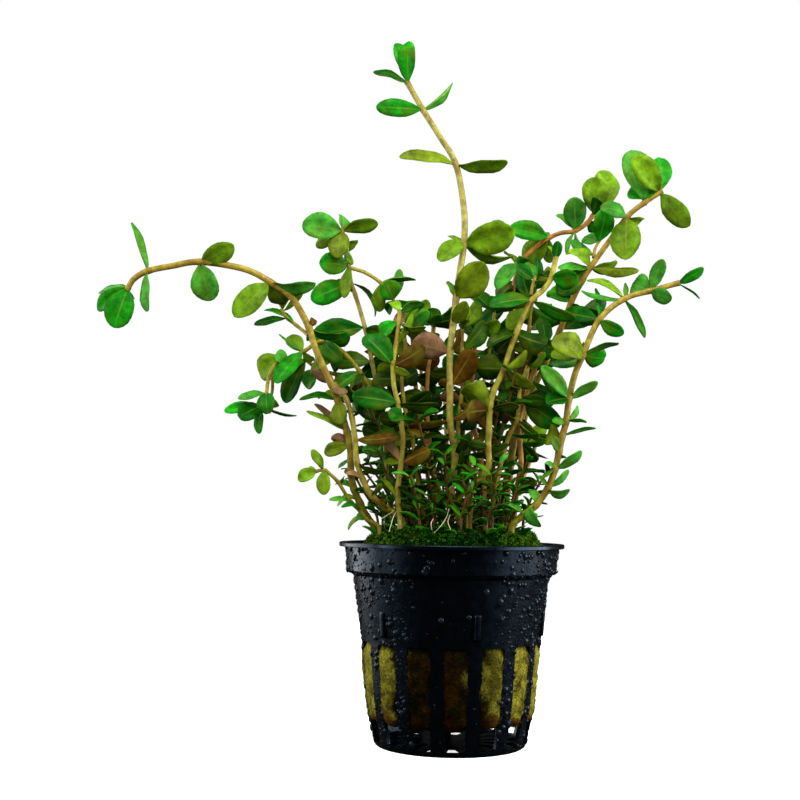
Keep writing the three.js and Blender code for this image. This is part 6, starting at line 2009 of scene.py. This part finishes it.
@dataclass
class Wool:
    """The plug of mineral wool, which bulges into the pot's slots. Sizes are in millimetres."""

    pot: Pot  # the pot that it fills
    bottom: float = 6.4  # its underside's height
    top: float = 45.0  # its upper side's height
    gap: float = 0.3  # how far it stays off the ribs
    bulge: float = 1.6  # how far it stands into the slots
    full: Two = (0.7, 2.5)  # how fully the bulge fills a slot, and how far below the slot's top it ends
    rough: float = 0.45  # how uneven it is
    ribbed: float = 0.3  # how much of that it keeps behind the ribs
    lumps: Outline = ((0.42, 1.0), (1.3, 0.6))  # its lumps: how many in a millimetre, and their share
    hem: Two = (0.35, 0.9)  # how often its underside's edge waves in a millimetre, and how far
    foot: Two = (1.8, 1.6)  # how high its rounded foot is, and how far that draws in
    each: int = 12  # how many steps it has for each slot
    up: int = 44  # how many steps it has up
    crowd: float = 1.35  # how much closer those are near the foot
    strands: float = 1.1e6  # how many loose fibres a square metre has
    strand_sizes: Two = (0.9, 3.2)  # the fibres' least and greatest length
    strand_steps: int = 5  # how many rings a fibre has
    strand_radius: float = 0.016  # its radius for the length one
    # for a fibre of length one, how far it waves aside and through what angle, its rise and its depth
    bend: tuple[float, float, float, float] = (0.22, 3.0, 0.09, 0.02)
    tilt: float = 0.12  # how far it tilts off the wool, in radians
    seeds: tuple[int, int, int, int] = (3, 4, 6, 7)  # the seeds of their places, turns, tilts and lengths

    def spot(self, level: int, k: int) -> Triple:
        """A corner of the plug.

        Args:
            level: its step up.
            k: its step round.

        Returns:
            The corner in millimetres.
        """
        z = self.bottom + (self.top - self.bottom) * (level / self.up) ** self.crowd
        (high, deep), (fill, fade), (often, far) = self.foot, self.full, self.hem
        low = min(1.0, (z - self.bottom) / high)
        swell = 0.0
        if z < self.pot.slot_top:
            swell = self.bulge * math.sin(math.pi * (k / self.each % 1.0)) ** fill
            swell *= min(1.0, (self.pot.slot_top - z) / fade)
        angle = FULL_TURN * k / (self.pot.slots * self.each) + math.radians(self.pot.first_rib)
        reach = self.pot.radius(z) - self.pot.wall - self.gap + swell
        spot = Vector((math.sin(angle), -math.cos(angle), 0)) * reach + Vector((0, 0, z))
        lumps = sum(share * noise.noise(spot * count) for count, share in self.lumps)
        reach += self.rough * lumps * min(1.0, swell + self.ribbed)
        reach -= deep * (1 - low) ** 2
        lift = far * noise.noise(spot * often) * (1 - low)
        return (reach * math.sin(angle), -reach * math.cos(angle), z + lift)

    def build(self) -> None:
        """Build the plug and its fibres."""
        around = self.pot.slots * self.each
        points = [self.spot(level, k) for level in range(self.up + 1) for k in range(around)]
        points += [(0.0, 0.0, self.bottom), (0.0, 0.0, self.top)]
        under, over = len(points) - 2, len(points) - 1
        faces = belt(self.up + 1, around)
        for k in range(around):
            n = (k + 1) % around
            faces += [(under, n, k), (over, under - around + k, under - around + n)]
        mesh = skin("wool", points, faces, MM)
        mesh.materials.append(WoolFinish().make("wool", 1.0))
        self.fibres(hand_in("wool_plug", mesh, ["wool"]))

    def strand(self) -> Object:
        """Build a bent fibre of length one along X.

        Returns:
            The fibre's object.
        """
        points: list[Triple] = []
        aside, curl, bow, sunk = self.bend
        for k in range(self.strand_steps):
            t = k / (self.strand_steps - 1)
            sway, rise = aside * math.sin(t * curl), bow * math.sin(math.pi * t) - sunk
            points += [(t - 0.5, sway + y, rise + z) for y, z, _ in circle(self.strand_radius, 0.0, 3)]
        last = len(points) - 3
        faces = [face[::-1] for face in belt(self.strand_steps, 3)]
        return stand("strand", skin("strand", points, [*faces, (1, 2, 0), (last + 2, last + 1, last)]))

    def fibres(self, plug: Object) -> None:
        """Lay loose fibres over the wool that the slots show.

        Args:
            plug: the wool's object.
        """
        strand = self.strand()
        r = Recipe.start("fibres")
        (low, high), (places, turn, tilt, length) = self.strand_sizes, self.seeds
        spin = r.rotation(Z=r.draw(0.0, DRAWN_TURN, turn), Y=r.draw(-self.tilt, self.tilt, tilt))
        points, turns = r.scatter("LESS_THAN", places, spin)
        real = r.copies(points, r.form("Strand"), turns, r.draw(low * MM, high * MM, length))
        # the fibres take the wool's colours 1.7 times brighter: a painted highlight on the strands
        r.close(r.dress(real, WoolFinish().make("wool_fibre", 1.7)))
        top = self.pot.slot_top * MM
        mesh = r.run(plug, [strand], Density=self.strands, Limit=top, Strand=strand)
        hand_in("wool_fibres", mesh, [])


@dataclass
class Moss:
    """The mound of moss on the wool. Sizes are in millimetres."""

    profile: Outline = (  # the mound from its middle out: radius and height
        (0, 53), (10, 52.9), (16, 52.6), (19.5, 51.7), (21.2, 50), (22.1, 46),
    )
    # its waves: how many round it, their turn for each millimetre, and their height
    waves: tuple[tuple[float, float, float], ...] = ((5, 0.7, 0.45), (9, -0.5, 0.3))
    calm: float = 9.0  # the radius within which the waves fade
    base: float = 45.35  # its underside's height
    socket: float = 2.6  # how deep the stems stand in it
    ground_line: float = 512.0  # how far down the front view a planted shoot starts
    lumps: Triple = (0.55, 0.8, 1.7)  # its lumps' height, how many in a millimetre, and their chance
    sunk: float = 0.25  # how far it lies below the heights above
    around: int = 96  # how many steps it has round
    rings: int = 30  # how many rings it has
    crowd: float = 0.9  # how they are spaced, 1 for evenly
    tufts: float = 4.0e6  # how many tufts a square metre has
    tuft_sizes: Two = (0.35, 1.0)  # the tufts' least and greatest height
    tuft_leaves: int = 4  # how many leaves a tuft has
    tilt: float = 0.5  # how far it tilts off the mound, in radians
    # the seeds of the tufts' places, of their turns round X, Y and Z, and of their tones and heights
    seeds: tuple[int, ...] = (21, 12, 13, 14, 9, 15)
    edge: float = 1.0  # how far above the underside the tufts start

    def height(self, radius: float, angle: float) -> float:
        """The mound's height at a place.

        Args:
            radius: how far it is from the axis.
            angle: its turn from the right, in radians.

        Returns:
            The height in millimetres.
        """
        level = float(np.interp(radius, [r for r, _ in self.profile], [z for _, z in self.profile]))
        lumps = sum(math.sin(angle * count + radius * twist) * high for count, twist, high in self.waves)
        return level + lumps * min(1.0, radius / self.calm)

    def build(self) -> None:
        """Build the mound and cover it in tufts."""
        around, rim = self.around, self.profile[-1][0]
        high, often, luck = self.lumps
        points: list[Triple] = [(0.0, 0.0, self.height(0, 0))]
        for ring in range(1, self.rings + 1):
            r = rim * (ring / self.rings) ** self.crowd
            for k, (x, y, _) in enumerate(circle(r, 0.0, around)):
                bump = high * noise.noise(Vector((x * often, y * often, luck))) * (ring < self.rings)
                points.append((x, y, self.height(r, FULL_TURN * k / around) + bump - self.sunk))
        foot = len(points)
        points += circle(rim, self.base, around) + [(0.0, 0.0, self.base)]
        faces = fan(0, 1, around) + [(a, d, c, b) for a, b, c, d in belt(self.rings + 1, around, 1)]
        faces += [(tip, b, a) for tip, a, b in fan(foot + around, foot, around)]
        material = MossFinish().make()
        mesh = skin("moss", points, faces, MM)
        mesh.materials.append(material)
        self.cover(hand_in("moss_mound", mesh, ["moss"]), material)

    def tuft(self) -> Object:
        """Build a tuft of height one: short leaves that lean outwards.

        Returns:
            The tuft's object.
        """
        points: list[Triple] = []
        faces: Faces = []
        for k in range(self.tuft_leaves):
            angle = math.pi / 2 * k + 0.3 * (k % 2)
            lean = 0.35 + 0.2 * (k % 3)
            out = Vector((math.cos(angle), math.sin(angle), 0))
            side = Vector((-out.y, out.x, 0)) * 0.24
            foot, middle = out * 0.08, out * lean * 0.6 + Vector((0, 0, 0.5))
            tip = out * lean + Vector((0, 0, 1.0 - 0.1 * (k % 2)))
            f, a, b, t, m = range(len(points), len(points) + 5)
            points += [foot, middle + side, middle - side, tip, middle - out * 0.13]
            faces += [(f, b, a), (a, b, t), (f, a, m), (a, t, m), (t, b, m), (b, f, m)]
        return stand("tuft", skin("tuft", points, faces))

    def cover(self, mound: Object, material: Material) -> None:
        """Set the tufts on the mound.

        Args:
            mound: the mound's object.
            material: the moss material.
        """
        tuft = self.tuft()
        r = Recipe.start("moss_tufts")
        places, x, y, z, tone, tall = self.seeds
        lean = {axis: r.draw(-self.tilt, self.tilt, seed) for axis, seed in (("X", x), ("Y", y))}
        points, turns = r.scatter("GREATER_THAN", places, r.rotation(**lean, Z=r.draw(0.0, DRAWN_TURN, z)))
        inputs = {"Geometry": points, "Name": "luck", "Value": r.draw(0.0, 1.0, tone)}
        marked = r.add("GeometryNodeStoreNamedAttribute", inputs, data_type="FLOAT", domain="POINT")
        low, high = self.tuft_sizes
        real = r.copies(marked.outputs[0], r.form("Tuft"), turns, r.draw(low * MM, high * MM, tall))
        r.close(r.dress(real, material))
        floor = (self.base + self.edge) * MM
        mesh = r.run(mound, [tuft], Density=self.tufts, Limit=floor, Tuft=tuft)
        hand_in("moss_tufts", mesh, [])


@dataclass
class Roots:
    """Fine white roots that leave the stems' feet for the moss."""

    runs: tuple[str, ...] = (  # each root's points in the front view
        "398 497 -9.5, 396 505 -10.5, 393 511 -12, 386 516 -13.5, 381 519 -15",
        "396 512 -12, 393 518 -14, 391 525 -15.5, 389 532 -16.5",
        "399 513 -12, 400 519 -13.5, 400 525 -15",
        "449 509 -12, 447 516 -14, 443 523 -16, 438 529 -17.5, 434 533 -18.5",
        "450 515 -13, 448 522 -15.5, 450 528 -17, 452 533 -18",
        "433 519 -15, 431 524 -16.5, 432 530 -17.5",
    )
    thick: float = 0.13  # a root's radius at its start, in millimetres
    taper: float = 0.55  # how much thinner it is at its end
    each: int = 6  # how many steps it has for each span
    sides: int = 5  # how many sides it has

    def build(self) -> None:
        """Build all roots as one piece."""
        spots: list[Array] = []
        radii: list[float] = []
        edges: list[tuple[int, int]] = []
        for text in self.runs:
            points = VIEW.line(text)
            steps = Route(points, len(points)).steps(self.each)
            first, count = len(spots), len(steps)
            spots += list(steps)
            radii += [self.thick * (1 - self.taper * k / count) for k in range(count)]
            edges += [(first + k, first + k + 1) for k in range(count - 1)]
        cloud = dust({"thick": ("FLOAT", np.array(radii) * MM)}, np.array(spots) * MM, edges)
        r = Recipe.start("roots")
        r.close(r.dress(r.tube(r.entry.outputs[0], self.sides), RootFinish().make()))
        hand_in("fine_roots", r.run(cloud, [cloud]), [])


@dataclass(frozen=True)
class Lamp:
    """One soft lamp: its place, its size in metres, its power in watts, its colour and its gloss."""

    name: str
    place: Triple
    size: Two
    power: float
    tint: Triple
    mirrored: bool = True

    def light(self, aim: Triple) -> None:
        """Put the lamp into the scene, turned to a point.

        Args:
            aim: the point.
        """
        data = bpy.data.lights.new(self.name, "AREA")
        data.shape = "RECTANGLE"
        data.size, data.size_y = self.size
        data.energy = self.power
        data.color = self.tint
        lamp = stand(self.name, data)
        lamp.location = self.place
        lamp.visible_glossy = self.mirrored
        way = Vector(aim) - Vector(self.place)
        lamp.rotation_euler = way.to_track_quat("-Z", "Y").to_euler()


SIDE_LIGHT = (1.0, 0.99, 0.96)
MAIN_LIGHT = (1.0, 0.98, 0.92)


@dataclass
class Studio:
    """The pale floor, the plain surround and the soft lamps."""

    lamps: tuple[Lamp, ...] = (
        Lamp("left_box", (-0.47, 0.19, 0.2), (0.46, 0.5), 3.2, SIDE_LIGHT),
        Lamp("left_strip", (-0.47, -0.17, 0.2), (0.12, 0.4), 1.4, SIDE_LIGHT),
        Lamp("right_box", (0.49, -0.09, 0.22), (0.56, 0.42), 7.2, SIDE_LIGHT),
        Lamp("top_box", (0.0, -0.3, 0.7), (0.5, 0.4), 7.5, MAIN_LIGHT),
        Lamp("front_box", (0.0, -0.8, 0.45), (0.8, 0.5), 8.5, MAIN_LIGHT, False),
    )
    aim: Triple = (0.0, 0.0, 0.09)  # the point that they are turned to
    floor_reach: float = 0.36  # the floor's radius
    floor_sides: int = 48  # how many sides it has
    glow: float = 0.75  # how bright it shines by itself
    around: float = 0.03  # the surround's strength for mirrored rays
    shade: float = 0.36  # its strength for soft light

    def build(self) -> None:
        """Build the floor, the surround and the lamps."""
        s = Shader.start("pale_floor")
        base = s.mix(s.span(s.grain(3.0), 0.3, 0.7), colour(0.86, 0.86, 0.86), colour(0.9, 0.9, 0.9))
        white = colour(1, 1, 1)
        points = [(0.0, 0.0, 0.0), *circle(self.floor_reach, 0.0, self.floor_sides)]
        mesh = skin("pale_floor", points, fan(0, 1, self.floor_sides))
        mesh.materials.append(s.surface(base, 0.9, Emission_Color=white, Emission_Strength=self.glow))
        floor = stand("pale_floor", mesh)
        floor.visible_glossy = False
        floor.visible_diffuse = False
        for lamp in self.lamps:
            lamp.light(self.aim)
        world = bpy.data.worlds.new("surround")
        bpy.context.scene.world = world
        world.use_nodes = True
        world.node_tree.nodes.clear()
        graph = Graph(world.node_tree)
        path = graph.add("ShaderNodeLightPath").outputs
        strengths = {"Value": path["Is Diffuse Ray"], 3: self.around, 4: self.shade}
        spread = graph.add("ShaderNodeMapRange", strengths).outputs["Result"]
        seen = graph.math("MAXIMUM", spread, path["Is Camera Ray"])
        back = graph.add("ShaderNodeBackground", {"Color": white, "Strength": seen})
        graph.add("ShaderNodeOutputWorld", {"Surface": back.outputs[0]})
        bpy.context.scene.view_settings.view_transform = "Standard"


def main() -> None:
    """Build the whole object and its studio."""
    logging.basicConfig(level=logging.INFO, format="%(message)s")
    VIEW.camera()
    pot, moss, growth = Pot(), Moss(), Growth()
    drawn = [thicket.shoots() for thicket in THICKETS]
    growth.grow([*SHOOTS, *(shoot for shoots in drawn for shoot in shoots)], moss)
    log.info("leaves: %d", sum(len(leaves) for leaves in growth.grown.values()))
    pot.build()
    Wool(pot).build()
    moss.build()
    Plant(growth, drawn).build()
    Roots().build()
    Studio().build()


if __name__ == "__main__":
    main()
